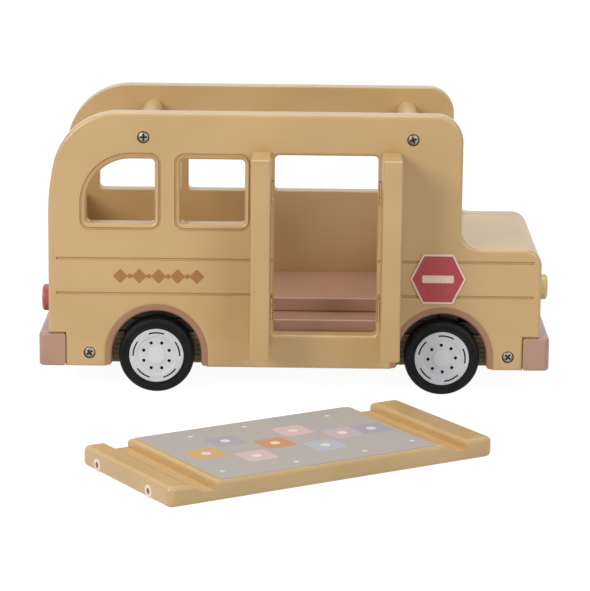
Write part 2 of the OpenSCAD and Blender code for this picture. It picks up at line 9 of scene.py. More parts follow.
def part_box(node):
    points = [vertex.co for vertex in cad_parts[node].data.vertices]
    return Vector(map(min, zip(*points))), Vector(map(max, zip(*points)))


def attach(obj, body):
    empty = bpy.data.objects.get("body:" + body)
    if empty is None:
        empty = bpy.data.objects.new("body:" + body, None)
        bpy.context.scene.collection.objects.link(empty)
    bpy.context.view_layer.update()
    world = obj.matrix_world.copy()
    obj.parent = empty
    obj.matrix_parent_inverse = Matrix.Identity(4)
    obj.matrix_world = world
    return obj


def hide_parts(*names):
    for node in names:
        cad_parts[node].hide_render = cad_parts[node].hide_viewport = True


# Looks of a wooden toy bus: lacquered boards with rounded edges and routed grooves, rubber tyres
# on moulded rims, open double doors, and the roof board laid on the ground as a play mat.
# Shapes are drawn in millimetres in the bus's own axes (+X front, -Y door side, +Z up from the
# ground) and then set in the frame, in metres.
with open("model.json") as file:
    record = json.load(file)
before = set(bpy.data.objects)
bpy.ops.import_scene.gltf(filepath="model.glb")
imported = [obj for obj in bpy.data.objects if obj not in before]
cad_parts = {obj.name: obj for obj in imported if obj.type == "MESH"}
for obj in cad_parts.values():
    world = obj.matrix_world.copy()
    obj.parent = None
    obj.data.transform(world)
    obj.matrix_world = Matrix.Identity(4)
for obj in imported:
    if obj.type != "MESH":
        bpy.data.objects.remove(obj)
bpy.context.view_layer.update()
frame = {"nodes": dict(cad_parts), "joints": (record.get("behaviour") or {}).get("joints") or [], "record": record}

MM = 0.001
RIGHT = -1
LEFT = 1
SIDES = {"right": RIGHT, "left": LEFT}

# The bus's axes, in the frame: its middle lies halfway between the outer faces of the panels
BUS_Y = (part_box("right_side_panel")[0].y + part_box("left_side_panel")[1].y) / 2
BUS = Matrix.Translation((0, BUS_Y, 0)) @ Matrix.Scale(MM, 4)
BODY = {node: body for body, nodes in frame["record"]["behaviour"]["bodies"].items() for node in nodes}
SLOT = {part["node"]: part["material_slot"] for part in frame["record"]["subparts"]}
AXIS = {joint["name"]: BUS.inverted() @ Vector(joint["pos_m"])
        for joint in frame["joints"] if "pos_m" in joint}


def span(node):
    """Lowest and highest corner of a solid, in millimetres in the bus's axes."""
    low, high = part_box(node)
    return BUS.inverted() @ low, BUS.inverted() @ high


# Sizes that the solids give
PANEL_LOW, PANEL_HIGH = span("right_side_panel")
REAR_X, NOSE_X = PANEL_LOW.x, PANEL_HIGH.x
FOOT_Z, TOP_Z = PANEL_LOW.z, PANEL_HIGH.z
HALF_W = -PANEL_LOW.y
PANEL_T = PANEL_HIGH.y - PANEL_LOW.y
HOOD_LOW, HOOD_HIGH = span("hood_board")
SCREEN_X, HOOD_Z = HOOD_LOW.x, HOOD_HIGH.z
BUMPER_LOW, BUMPER_HIGH = span("front_bumper")
BUMPER_TOP = BUMPER_HIGH.z
NOTCH = NOSE_X - BUMPER_LOW.x
WHEEL_R = span("rear_right_tyre")[1].z / 2
WHEEL_OUT_Y = -span("rear_right_tyre")[0].y
WHEEL_W = span("rear_right_tyre")[1].y - span("rear_right_tyre")[0].y
RIM_R = (span("rear_right_rim")[1].z - span("rear_right_rim")[0].z) / 2
AXLE_X = {end: AXIS[end + "_wheels_roll"].x for end in ("rear", "front")}
AXLE_R = (span("rear_axle")[1].z - span("rear_axle")[0].z) / 2
ARCH_R = (span("rear_right_arch_liner")[1].x - span("rear_right_arch_liner")[0].x) / 2
ARCH_Z = span("rear_right_arch_liner")[1].z - ARCH_R
DOWEL_LOW, DOWEL_HIGH = span("rear_dowel")
DOWEL_R = (DOWEL_HIGH.z - DOWEL_LOW.z) / 2
DOWEL_Z = DOWEL_LOW.z + DOWEL_R
DOWEL_X = {end: span(end + "_dowel")[0].x + DOWEL_R for end in ("rear", "front")}

# Side panels: openings, corners and grooves
REAR_POST = 22.8
REAR_WINDOW = 41.2
MID_POST = 15.5
SECOND_WINDOW = 38.5
DOOR_POST = 17.8
DOOR = 61.9
REAR_WINDOW_X = REAR_X + REAR_POST
SECOND_WINDOW_X = REAR_WINDOW_X + REAR_WINDOW + MID_POST
DOOR_X = SECOND_WINDOW_X + SECOND_WINDOW + DOOR_POST
SILL_H = 88.1
SILL_Z = FOOT_Z + SILL_H
WINDOW_HEAD = 27.9
WINDOW_TOP = TOP_Z - WINDOW_HEAD
WINDOW_R = 2.6
REAR_WINDOW_TOP_R = 27
DOOR_SILL_H = 20.6
DOOR_H = 109.9
DOOR_SILL_Z = FOOT_Z + DOOR_SILL_H
DOOR_TOP = DOOR_SILL_Z + DOOR_H
DOOR_R = 2.7
LONG_WINDOW_REAR = 1.4
LONG_WINDOW_FRONT = 6
REAR_TOP_R = 40
SWEEP_R = 150
SWEEP_H = 92.6
SWEEP_Z = FOOT_Z + SWEEP_H
FRONT_TOP_R = 16
SCREEN_FILLET_R = 11.5
NOSE_R = 10
GROOVE_R = 0.9
GROOVE_D = 1.0
RING_GAP = 3
BELT_MARGIN = 4.7
BELT_HS = (45.4, 66.7)
BELT_ZS = [FOOT_Z + height for height in BELT_HS]
OVER = 1.0

# Rounding of the edges, and how finely curves are drawn
PANEL_EDGE = 2.2
PANEL_BACK_EDGE = 0.8
LEAF_EDGE = 1.3
WALL_EDGE = 1.2
BUMPER_EDGE = 1.7
ROOF_EDGE = 2.8
HOOD_EDGE = 0.2
SIGN_EDGE = 0.2
BLOCK_EDGE = 0.8
FLOOR_EDGE = 1.0
EDGE_STEPS = 3
FILLET_STEPS = 5
ARC_STEPS = 14
CIRCLE_STEPS = 24
SMALL_STEPS = 40
TURN_STEPS = 72
WHEEL_STEPS = 96
MERGE_GAP = 1e-4
GAP_SIDES = 4
SHARP_ANGLE = math.radians(35)


# Shapes

def arc(centre, radius, start, end, steps=ARC_STEPS):
    """Points of an arc between two angles in degrees."""
    angles = [math.radians(start + (end - start) * i / steps) for i in range(steps + 1)]
    return [(centre[0] + radius * math.cos(a), centre[1] + radius * math.sin(a)) for a in angles]


def circle(centre, radius):
    """Points of a whole circle."""
    return arc(centre, radius, 0, 360, CIRCLE_STEPS)[:-1]


def rounded(low, high, radius, top_radius=None):
    """Outline of a rectangle with round corners, of which the upper one at the low end may differ."""
    top = top_radius or radius
    return (arc((low[0] + radius, low[1] + radius), radius, 180, 270)
            + arc((high[0] - radius, low[1] + radius), radius, 270, 360)
            + arc((high[0] - radius, high[1] - radius), radius, 0, 90)
            + arc((low[0] + top, high[1] - top), top, 90, 180))


def filleted(points, radius):
    """An outline with every corner rounded to one radius."""
    outline = []
    for before, corner, after in zip(points[-1:] + points[:-1], points, points[1:] + points[:1]):
        corner = Vector(corner)
        back = (Vector(before) - corner).normalized()
        ahead = (Vector(after) - corner).normalized()
        half_angle = back.angle(ahead) / 2
        centre = corner + (back + ahead).normalized() * radius / math.sin(half_angle)
        start = corner + back * radius / math.tan(half_angle) - centre
        end = corner + ahead * radius / math.tan(half_angle) - centre
        first = math.atan2(start.y, start.x)
        turn = math.remainder(math.atan2(end.y, end.x) - first, math.tau)
        first, turn = math.degrees(first), math.degrees(turn)
        outline += arc(centre, radius, first, first + turn, FILLET_STEPS)
    return outline


def set_shape(mesh, shape):
    """The mesh with a shape put into it, which is then done with."""
    shape.to_mesh(mesh)
    shape.free()
    return mesh


def tidied(mesh):
    """The mesh with doubled points merged, small gaps closed and its faces turned outwards."""
    shape = bmesh.new()
    shape.from_mesh(mesh)
    bmesh.ops.remove_doubles(shape, verts=shape.verts, dist=MERGE_GAP)
    bmesh.ops.dissolve_degenerate(shape, edges=shape.edges, dist=MERGE_GAP)
    rims = [edge for edge in shape.edges if edge.is_boundary]
    bmesh.ops.holes_fill(shape, edges=rims, sides=GAP_SIDES)
    bmesh.ops.recalc_face_normals(shape, faces=shape.faces)
    return set_shape(mesh, shape)


def held(data):
    """A passing object that holds a curve or a mesh."""
    holder = bpy.data.objects.new("passing", data)
    bpy.context.scene.collection.objects.link(holder)
    return holder


def evaluated(holder):
    """The mesh of a passing object, with its modifiers applied."""
    graph = bpy.context.evaluated_depsgraph_get()
    return tidied(bpy.data.meshes.new_from_object(holder.evaluated_get(graph)))


def from_curve(curve):
    """The mesh of a curve."""
    holder = held(curve)
    mesh = evaluated(holder)
    bpy.data.objects.remove(holder)
    return mesh


def add_spline(curve, points, closed=True):
    """A straight-sided run through flat or spatial points."""
    spline = curve.splines.new("POLY")
    spline.points.add(len(points) - 1)
    for made, point in zip(spline.points, points):
        made.co = (*point, *[0] * (3 - len(point)), 1)
    spline.use_cyclic_u = closed


def board(outlines, thick, edge=0.0):
    """A flat board of one outline with holes, its edges rounded over, centred in its thickness."""
    curve = bpy.data.curves.new("outline", "CURVE")
    curve.dimensions = "2D"
    curve.fill_mode = "BOTH"
    curve.extrude = thick / 2 - edge
    curve.bevel_depth = edge
    curve.bevel_resolution = EDGE_STEPS
    curve.offset = -edge
    for i, outline in enumerate(outlines):
        area = sum(a[0] * b[1] - b[0] * a[1] for a, b in zip(outline, outline[1:] + outline[:1]))
        clockwise = area < 0
        is_outer = i == 0
        add_spline(curve, outline if clockwise == is_outer else outline[::-1])
    return from_curve(curve)


def half(mesh, way):
    """The part of a board above or below its middle, open there."""
    shape = bmesh.new()
    shape.from_mesh(mesh)
    bmesh.ops.bisect_plane(shape, geom=shape.verts[:] + shape.edges[:] + shape.faces[:], dist=MERGE_GAP,
                           plane_co=(0, 0, 0), plane_no=(0, 0, way), clear_inner=True)
    return set_shape(mesh, shape)


def two_edged_board(outlines, thick, upper_edge, lower_edge):
    """A board whose edges are rounded over more on one face than on the other."""
    return tidied(joined([half(board(outlines, thick, upper_edge), 1),
                          half(board(outlines, thick, lower_edge), -1)]))


def tube(points, radius, closed):
    """A round bar along points, the tool of a routed groove."""
    curve = bpy.data.curves.new("groove", "CURVE")
    curve.dimensions = "3D"
    curve.bevel_depth = radius
    curve.bevel_resolution = EDGE_STEPS
    curve.use_fill_caps = True
    add_spline(curve, points, closed)
    return from_curve(curve)


def rounded_box(low, high, edge):
    """A block between two corners with every edge rounded over."""
    shape = bmesh.new()
    bmesh.ops.create_cube(shape, size=1)
    low, high = Vector(low), Vector(high)
    bmesh.ops.scale(shape, vec=high - low, verts=shape.verts)
    bmesh.ops.translate(shape, vec=(high + low) / 2, verts=shape.verts)
    if edge:
        bmesh.ops.bevel(shape, geom=shape.edges, offset=edge, segments=EDGE_STEPS, profile=0.5,
                        affect="EDGES", clamp_overlap=True)
    return set_shape(bpy.data.meshes.new("block"), shape)


def lathe(profile, steps=TURN_STEPS, closed=False):
    """A turned shape about Z, from points of radius and height."""
    shape = bmesh.new()
    points = [shape.verts.new((radius, 0, height)) for radius, height in profile]
    pairs = list(zip(points, points[1:]))
    if closed:
        pairs.append((points[-1], points[0]))
    lines = [shape.edges.new(pair) for pair in pairs]
    bmesh.ops.spin(shape, geom=points + lines, axis=(0, 0, 1), cent=(0, 0, 0), steps=steps,
                   angle=math.tau)
    return tidied(set_shape(bpy.data.meshes.new("turned"), shape))


def disc(radius, low, high):
    """A round plate or peg between two heights."""
    return lathe([(0, low), (radius, low), (radius, high), (0, high)], SMALL_STEPS)


def rod(radius, length, chamfer):
    """A round bar with chamfered ends."""
    return lathe([(0, 0), (radius - chamfer, 0), (radius, chamfer), (radius, length - chamfer),
                  (radius - chamfer, length), (0, length)])


def placed(mesh, place):
    """The mesh, moved."""
    mesh.transform(place)
    return mesh


def joined(meshes):
    """Several meshes as one."""
    shape = bmesh.new()
    for mesh in meshes:
        shape.from_mesh(mesh)
    return set_shape(bpy.data.meshes.new("joined"), shape)


def marked(tool):
    """A tool that leaves faces of a piece's second finish."""
    tool.polygons.foreach_set("material_index", [1] * len(tool.polygons))
    return tool


def cut(mesh, tools):
    """The mesh with tools taken away, with places for two finishes."""
    for shape in [mesh] + tools:
        marks = [face.material_index for face in shape.polygons]
        shape.materials.append(None)
        shape.materials.append(None)
        shape.polygons.foreach_set("material_index", marks)
    target = held(mesh)
    cutters = [held(tool) for tool in tools]
    for cutter in cutters:
        step = target.modifiers.new("cut", "BOOLEAN")
        step.operation = "DIFFERENCE"
        step.solver = "EXACT"
        step.object = cutter
    result = evaluated(target)
    for passing in [target] + cutters:
        bpy.data.objects.remove(passing)
    return result


UPRIGHT = Matrix.Rotation(math.radians(90), 4, "X")


def moved(x=0, y=0, z=0):
    """A shift."""
    return Matrix.Translation((x, y, z))


def upright(mesh, y):
    """A flat board stood up, so that its outline is in X and Z and its thickness is centred on Y."""
    return placed(mesh, moved(y=y) @ UPRIGHT)


def inward(x, z, side):
    """A place on a panel's outer face, with +Z into the bus."""
    return moved(x, side * HALF_W, z) @ Matrix.Rotation(math.radians(90 * side), 4, "X")


# Finishes

def ink(code):
    """A colour written as hexadecimal, as the shader's linear values."""
    parts = [int(code[i:i + 2], 16) / 255 for i in (1, 3, 5)]
    return (*[p / 12.92 if p <= 0.04045 else ((p + 0.055) / 1.055) ** 2.4 for p in parts], 1)


# A Mix node's sockets for colours, by number
MIX_SHARE = 0
MIX_LOW = 6
MIX_HIGH = 7
MIX_RESULT = 2


class Field:
    """A socket whose value changes over a surface, with the sums that the finishes use."""

    def __init__(self, tree, socket=None):
        self.tree = tree
        self.socket = socket

    def feed(self, socket, value):
        """Links a field to a socket, or sets a number, colour or vector on it."""
        if isinstance(value, Field):
            self.tree.links.new(value.socket, socket)
        else:
            socket.default_value = value

    def node(self, kind, settings, inputs, output=0):
        """Any node: its settings first, then the values or links of its sockets."""
        made = self.tree.nodes.new(kind)
        for name, value in settings.items():
            setattr(made, name, value)
        for key, value in inputs.items():
            self.feed(made.inputs[key], value)
        return Field(self.tree, made.outputs[output])

    def sum_of(self, operation, first, second):
        """A Math node, or a Vector Math node where a vector takes part."""
        terms = [first, second]
        vectors = [t for t in terms if isinstance(t, tuple)
                   or isinstance(t, Field) and t.socket.type == "VECTOR"]
        kind = "ShaderNodeVectorMath" if vectors else "ShaderNodeMath"
        return self.node(kind, {"operation": operation}, dict(enumerate(terms)))

    def __add__(self, other):
        return self.sum_of("ADD", self, other)

    def __radd__(self, other):
        return self.sum_of("ADD", other, self)

    def __sub__(self, other):
        return self.sum_of("SUBTRACT", self, other)

    def __rsub__(self, other):
        return self.sum_of("SUBTRACT", other, self)

    def __mul__(self, other):
        return self.sum_of("MULTIPLY", self, other)

    def __rmul__(self, other):
        return self.sum_of("MULTIPLY", other, self)

    def mix(self, low, high, share):
        """Two colours mixed by a share."""
        return self.node("ShaderNodeMix", {"data_type": "RGBA"},
                         {MIX_SHARE: share, MIX_LOW: low, MIX_HIGH: high}, MIX_RESULT)

    def place(self, stretch=(1, 1, 1), turn=0.0):
        """Places on the object in metres, turned about Z and then stretched."""
        spot = self.node("ShaderNodeTexCoord", {}, {}, "Object")
        turned = self.node("ShaderNodeVectorRotate", {"rotation_type": "Z_AXIS"},
                           {"Vector": spot, "Angle": turn})
        return turned * stretch

    def coordinate(self, axis):
        """One coordinate of the place on the object, in metres."""
        return self.node("ShaderNodeSeparateXYZ", {}, {"Vector": self.place()}, axis)

    def noise(self, place, per_metre, detail=3.0, rough=0.5):
        """Soft noise with so many features to the metre."""
        return self.node("ShaderNodeTexNoise", {"normalize": True},
                         {"Vector": place, "Scale": per_metre, "Detail": detail, "Roughness": rough})

    def between(self, low, high):
        """0 under one value, 1 over another, and smooth in between."""
        return self.node("ShaderNodeMapRange", {"interpolation_type": "SMOOTHSTEP"},
                         {"Value": self, "From Min": low, "From Max": high})


class Finish:
    """A material with one shader, whose unvarying values are set on the shader itself."""

    def __init__(self, name, values):
        self.material = bpy.data.materials.new(name)
        self.material.use_nodes = True
        tree = self.material.node_tree
        self.shader = tree.nodes["Principled BSDF"]
        self.field = Field(tree)
        for key, value in values.items():
            self.shader.inputs[key].default_value = value

    def set(self, socket, value):
        """Feeds one of the shader's sockets."""
        self.field.feed(self.shader.inputs[socket], value)

    def bump(self, height, depth, strength=1.0):
        """Raises the surface by a field, to a depth in metres."""
        self.set("Normal", self.field.node("ShaderNodeBump", {}, {
            "Height": height, "Distance": depth, "Strength": strength}))


# Grain is drawn out along the board, and most of a noise lies within its span
GRAIN_DRAW = 0.06
GRAIN_STRETCH = {"X": (GRAIN_DRAW, 1, 1), "Y": (1, GRAIN_DRAW, 1), "Z": (1, 1, GRAIN_DRAW)}
NOISE_SPAN = (0.3, 0.7)
ROOF_TURN = math.radians(31.9)
# Lacquer: features to the metre, and the share of each in the tone
CLOUDS = 16
GRAIN = 620
SPRAY = 1700
CLOUD_SHARE = 0.75
GRAIN_SHARE = 0.12
SPRAY_SHARE = 0.13
COAT = 0.3
# Zones of painted shade by the wheels, where the lacquer gives way to a dark colour without coat, in metres: how
# softly they end, and how far up the dash board they reach
WELL_SHADE = "#3a3029"
SHADE_FADE = 0.001
DASH_SHADE_Z = 0.052
# Layered board, in millimetres: a veneer and its waves
VENEER_T = 1.5
VENEER_WAVE = 0.5


def dash_shade_zone(field):
    """The zone of the dash board that is down beside the wheels, where painted shade darkens it."""
    return 1 - field.coordinate("Z").between(DASH_SHADE_Z, DASH_SHADE_Z + SHADE_FADE)


def wheel_well_shade(field):
    """The zones of the base board that are over the wheels, where painted shade darkens it."""
    shade_zone = 0.0
    for x in AXLE_X.values():
        away = field.node("ShaderNodeMath", {"operation": "ABSOLUTE"}, {0: field.coordinate("X") - x * MM})
        shade_zone = shade_zone + (1 - away.between(ARCH_R * MM, ARCH_R * MM + SHADE_FADE))
    return shade_zone


def floor_side_shade(field):
    """The zones of the floor board's sides that are over the wheels, below its round upper edge, where painted
    shade darkens them.
    """
    top = (span("floor_board")[1].z - FLOOR_EDGE) * MM
    return wheel_well_shade(field) * (1 - field.coordinate("Z").between(top - SHADE_FADE, top))


def lacquer(name, pale, deep, along, rough=0.36, turn=0.0, painted_shade=None):
    """Satin lacquer on smooth board: soft clouds, faint grain under it and a fine spray texture.

    In a zone, where one is given, the colour turns dark and the coat goes: painted shade.
    """
    finish = Finish(name, {"Specular IOR Level": 0.5, "Coat Roughness": 0.2})
    field = finish.field
    place = field.place(turn=-turn)
    clouds = field.noise(place, per_metre=CLOUDS, detail=2)
    drawn = field.place(GRAIN_STRETCH[along], -turn)
    grain = field.noise(drawn, per_metre=GRAIN, detail=4, rough=0.6)
    spray = field.noise(place, per_metre=SPRAY, detail=2)
    tone = (clouds.between(*NOISE_SPAN) * CLOUD_SHARE + grain.between(0.3, 0.75) * GRAIN_SHARE
            + spray * SPRAY_SHARE)
    colour = field.mix(ink(deep), ink(pale), tone)
    coat = COAT
    # painted shade: a dark colour without coat over the given zone
    if painted_shade:
        shade_zone = painted_shade(field)
        colour = field.mix(colour, ink(WELL_SHADE), shade_zone)
        coat = coat * (1 - shade_zone)
    finish.set("Base Color", colour)
    finish.set("Coat Weight", coat)
    finish.set("Roughness", rough - 0.05 + spray * 0.08 + clouds * 0.04)
    finish.bump(spray * 0.85 + grain * 0.15, depth=0.00005, strength=0.35)
    return finish.material


def layered_wood(name):
    """Bare layered board: thin veneers one over the other, alternately end grain and long grain."""
    finish = Finish(name, {"Roughness": 0.7, "Specular IOR Level": 0.25})
    field = finish.field
    warp = field.noise(field.place(), per_metre=60, detail=2)
    height = field.coordinate("Z") * (1 / MM) + warp * VENEER_WAVE
    layers = field.node("ShaderNodeMath", {"operation": "PINGPONG"}, {0: height, 1: VENEER_T})
    long_grain = field.noise(field.place((0.05, 0.05, 1)), per_metre=900, detail=4, rough=0.65)
    pores = field.noise(field.place(), per_metre=1500, detail=3, rough=0.7)
    tone = layers.between(0.45, 1.0) * 0.55 + long_grain * 0.3 + pores * 0.2
    finish.set("Base Color", field.mix(ink("#73665a"), ink("#a9967e"), tone))
    finish.bump(tone, depth=0.0002, strength=0.5)
    return finish.material


def rubber(name):
    """Matt black rubber with a fine moulded grain and a trace of dust."""
    finish = Finish(name, {"Specular IOR Level": 0.13})
    field = finish.field
    dust = field.noise(field.place(), per_metre=90, detail=4, rough=0.6)
    pits = field.noise(field.place(), per_metre=2600, detail=2)
    finish.set("Base Color", field.mix(ink("#0e0f0f"), ink("#181a1a"), dust.between(0.35, 0.75)))
    finish.set("Roughness", 0.44 + dust * 0.14)
    finish.bump(pits, depth=0.00004, strength=0.4)
    return finish.material


def moulded(name, pale, deep, rough=0.34):
    """Moulded plastic: hardly any change of tone, slightly uneven gloss."""
    finish = Finish(name, {"Specular IOR Level": 0.5})
    field = finish.field
    flow = field.noise(field.place(), per_metre=70, detail=2)
    fine = field.noise(field.place(), per_metre=2200, detail=2)
    finish.set("Base Color", field.mix(ink(deep), ink(pale), flow.between(*NOISE_SPAN)))
    finish.set("Roughness", rough + fine * 0.1)
    finish.bump(fine, depth=0.00003, strength=0.3)
    return finish.material


def plated(name, pale, deep, along, rough=0.24):
    """Plated metal with fine drawn lines along one axis."""
    finish = Finish(name, {})
    field = finish.field
    lines = field.noise(field.place(GRAIN_STRETCH[along]), per_metre=3200, rough=0.6)
    stain = field.noise(field.place(), per_metre=240)
    finish.set("Base Color", field.mix(ink(deep), ink(pale), stain.between(*NOISE_SPAN)))
    finish.set("Metallic", 0.9 + stain * 0.1)
    finish.set("Roughness", rough + lines * 0.16)
    finish.bump(lines, depth=0.00003, strength=0.4)
    return finish.material


def printed(name, pale, deep, rough=0.5):
    """A flat print: an even ink with a faint paper-like mottle."""
    finish = Finish(name, {"Specular IOR Level": 0.35})
    field = finish.field
    mottle = field.noise(field.place(), per_metre=520, rough=0.6)
    dots = field.noise(field.place(), per_metre=3600, detail=1)
    finish.set("Base Color", field.mix(ink(deep), ink(pale), mottle.between(0.1, 0.9)))
    finish.set("Roughness", rough + dots * 0.1)
    finish.bump(dots, depth=0.00002, strength=0.25)
    return finish.material


TAN = ("#cbab78", "#c1a06d")
TAN_X = lacquer("tan_lacquer_long", *TAN, "X")
TAN_Y = lacquer("tan_lacquer_across", *TAN, "Y")
TAN_Z = lacquer("tan_lacquer_tall", *TAN, "Z")
# the dash board's foot beside the wheels carries painted shade
TAN_SHADED_FOOT = lacquer("tan_lacquer_painted_shade_foot", *TAN, "Y", painted_shade=dash_shade_zone)
TAN_ROOF = lacquer("tan_lacquer_roof", *TAN, "X", turn=ROOF_TURN)
# a darker tan for the faces inside the routed grooves: painted shade
TAN_GROOVE_SHADE = lacquer("tan_lacquer_groove_painted_shade", "#c3a06d", "#b99562", "X")
TERRACOTTA = ("#b68f7a", "#ab8370")
TERRACOTTA_X = lacquer("terracotta_lacquer_long", *TERRACOTTA, "X")
TERRACOTTA_Y = lacquer("terracotta_lacquer_across", *TERRACOTTA, "Y")
# the base board over the wheels carries painted shade
TERRACOTTA_SHADED_WELL = lacquer("terracotta_lacquer_painted_shade_well", *TERRACOTTA, "X", painted_shade=wheel_well_shade)
# the floor's terracotta is paler than the bumpers' and base board's: painted light from above; its sides over the
# wheels carry painted shade
TERRACOTTA_FLOOR_LIT_AND_SHADED = lacquer("terracotta_floor_painted_light_and_shade", "#c69c84", "#bb907a", "X", painted_shade=floor_side_shade)
# the arch liners' terracotta made darker and browner than the bumpers': painted shade of the arches
LINER_SHADED_TERRACOTTA = lacquer("liner_painted_shade_lacquer", "#a57a5b", "#9b7053", "Y")
VENT_DARK = moulded("vent_shadow", "#161617", "#0f0f10", 0.6)
# a dark steel for the screws' cross recesses: painted shade
RECESS_SHADE = plated("recess_painted_shade", "#45413e", "#2f2c2a", "Y", 0.5)
FINISH = {
    "tan_wood": TAN_X,
    "terracotta_wood": TERRACOTTA_X,
    "plain_wood": layered_wood("layered_wood"),
    "headlight_paint": lacquer("pale_yellow_lacquer", "#dcc887", "#cfba75", "Z"),
    "taillight_paint": lacquer("red_lacquer", "#b3574f", "#a54a43", "Z", 0.5),
    "sign_paint": printed("pale_print", "#ecd9c9", "#e2cbb8"),
    "screw_steel": plated("plated_steel", "#aaa69f", "#827d77", "Y", 0.36),
    "axle_steel": plated("drawn_steel", "#c9c9c9", "#a4a4a4", "Y"),
    "hinge_steel": plated("brass_plating", "#bfa172", "#b09264", "Z", 0.45),
    "tyre_rubber": rubber("black_rubber"),
    "rim_plastic": moulded("rim_plastic", "#cfd3d8", "#c7cbd1"),
    "cap_plastic": moulded("cap_plastic", "#d6d9dd", "#cfd2d7"),
    "mat_film": printed("grey_film", "#b4afaa", "#aea9a4"),
    "marker_paint": printed("white_print", "#f2e8e0", "#e8dbd1"),
}
SIGN_RED = printed("red_print", "#b65059", "#ab454f")
BAND_BROWN = printed("brown_print", "#a97d4d", "#9c7042")
MARKER_MAUVE = printed("mauve_print", "#a5656f", "#955762")
MAT_INKS = {
    "pink": printed("pink_print", "#d6bcb9", "#d0b5b3"),
    "orange": printed("orange_print", "#cb9470", "#c48d69"),
    "lavender": printed("lavender_print", "#aba4b4", "#a59eae"),
    "lilac": printed("lilac_print", "#c5b4be", "#bfaeb8"),
    "ochre": printed("ochre_print", "#cfaa76", "#c9a370"),
    "blue": printed("blue_print", "#b5bbc4", "#afb5bf"),
    "white": printed("cream_print", "#e6e0d4", "#dcd5c8"),
}


# Pieces

def piece(name, mesh, materials, body, place):
    """An object that rides on a body, smooth but for its sharp edges."""
    mesh.transform(place)
    last = len(materials) - 1
    marks = [min(face.material_index, last) for face in mesh.polygons]
    mesh.materials.clear()
    for material in materials:
        mesh.materials.append(material)
    mesh.polygons.foreach_set("material_index", marks)
    mesh.shade_smooth()
    mesh.set_sharp_from_angle(angle=SHARP_ANGLE)
    made = held(mesh)
    made.name = name
    normals = made.modifiers.new("even_normals", "WEIGHTED_NORMAL")
    normals.keep_sharp = True
    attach(made, body)
    return made


def dress(node, mesh, *materials, place=BUS):
    """The piece that stands for one solid."""
    slot = SLOT[node]
    made = piece(node + ".dressed", mesh, materials or [FINISH[slot]], BODY[node], place)
    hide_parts(node)
    return made


def inlay(name, node, mesh, material, place=BUS):
    """A print on a solid's face, which moves with it."""
    return piece(name, mesh, [material], BODY[node], place)


def window(x, length, grow=0, top_radius=WINDOW_R):
    """Outline of a window, or of a line round it."""
    return rounded((x - grow, SILL_Z - grow), (x + length + grow, WINDOW_TOP + grow),
                   WINDOW_R + grow, top_radius + grow)


def window_outlines(side, grow=0):
    """Outlines of the windows of one side: three on the left, two beside the door on the right."""
    outlines = [window(REAR_WINDOW_X, REAR_WINDOW, grow, REAR_WINDOW_TOP_R),
                window(SECOND_WINDOW_X, SECOND_WINDOW, grow)]
    if side == LEFT:
        length = LONG_WINDOW_REAR + DOOR + LONG_WINDOW_FRONT
        outlines.append(window(DOOR_X - LONG_WINDOW_REAR, length, grow))
    return outlines


def arch_outline(x, radius, foot):
    """Outline of a wheel arch, from the foot of its front leg over to the rear one."""
    crown = arc((x, ARCH_Z), radius, 0, 180, 2 * ARC_STEPS)
    return [(x + radius, foot)] + crown + [(x - radius, foot)]


def panel_outline():
    """Outline of a side panel, from the rear bumper over the roof line and back by the arches."""
    corner_z = TOP_Z - REAR_TOP_R
    rise = corner_z - SWEEP_Z
    run = math.sqrt((SWEEP_R - REAR_TOP_R) ** 2 - rise ** 2)
    meet = 180 - math.degrees(math.atan2(rise, run))
    sweep_x = REAR_X + SWEEP_R
    return ([(REAR_X + NOTCH, FOOT_Z), (REAR_X + NOTCH, BUMPER_TOP), (REAR_X, BUMPER_TOP)]
            + arc((sweep_x, SWEEP_Z), SWEEP_R, 180, meet)
            + arc((sweep_x - run, corner_z), REAR_TOP_R, meet, 90)
            + arc((SCREEN_X - FRONT_TOP_R, TOP_Z - FRONT_TOP_R), FRONT_TOP_R, 90, 0)
            + arc((SCREEN_X + SCREEN_FILLET_R, HOOD_Z + SCREEN_FILLET_R), SCREEN_FILLET_R, 180, 270)
            + arc((NOSE_X - NOSE_R, HOOD_Z - NOSE_R), NOSE_R, 90, 0)
            + [(NOSE_X, BUMPER_TOP), (NOSE_X - NOTCH, BUMPER_TOP), (NOSE_X - NOTCH, FOOT_Z)]
            + arch_outline(AXLE_X["front"], ARCH_R, FOOT_Z)
            + arch_outline(AXLE_X["rear"], ARCH_R, FOOT_Z))


# Screws
SCREW_LOW, SCREW_HIGH = span("lower_screws")
SCREW_HEAD_R = (SCREW_HIGH.z - SCREW_LOW.z) / 2
SCREW_Z = SCREW_LOW.z + SCREW_HEAD_R
SCREW_XS = (SCREW_LOW.x + SCREW_HEAD_R, SCREW_HIGH.x - SCREW_HEAD_R)
SCREW_SINK = HALF_W + SCREW_LOW.y
SCREW_HEAD_H = 2.2
SCREW_R = 1.75
SCREW_L = 28
SCREW_TIP = 3.5
SCREW_CLEAR = 0.2
CROSS_L = 4.4
CROSS_W = 1.1
CROSS_D = 1.3
# Shares of the head's radius and height
SCREW_DOME = [(0, 0), (0.5, 0.03), (0.78, 0.14), (0.93, 0.32), (1, 0.6), (1, 0.9), (0.96, 1)]


def screw_hole(x, z, side):
    """The tool of a counterbored screw hole."""
    floor = SCREW_SINK + SCREW_HEAD_H
    wide = SCREW_HEAD_R + SCREW_CLEAR
    slim = SCREW_R + SCREW_CLEAR
    profile = [(0, -OVER), (wide, -OVER), (wide, floor), (slim, floor), (slim, PANEL_T + OVER),
               (0, PANEL_T + OVER)]
    return placed(lathe(profile, SMALL_STEPS), inward(x, z, side))


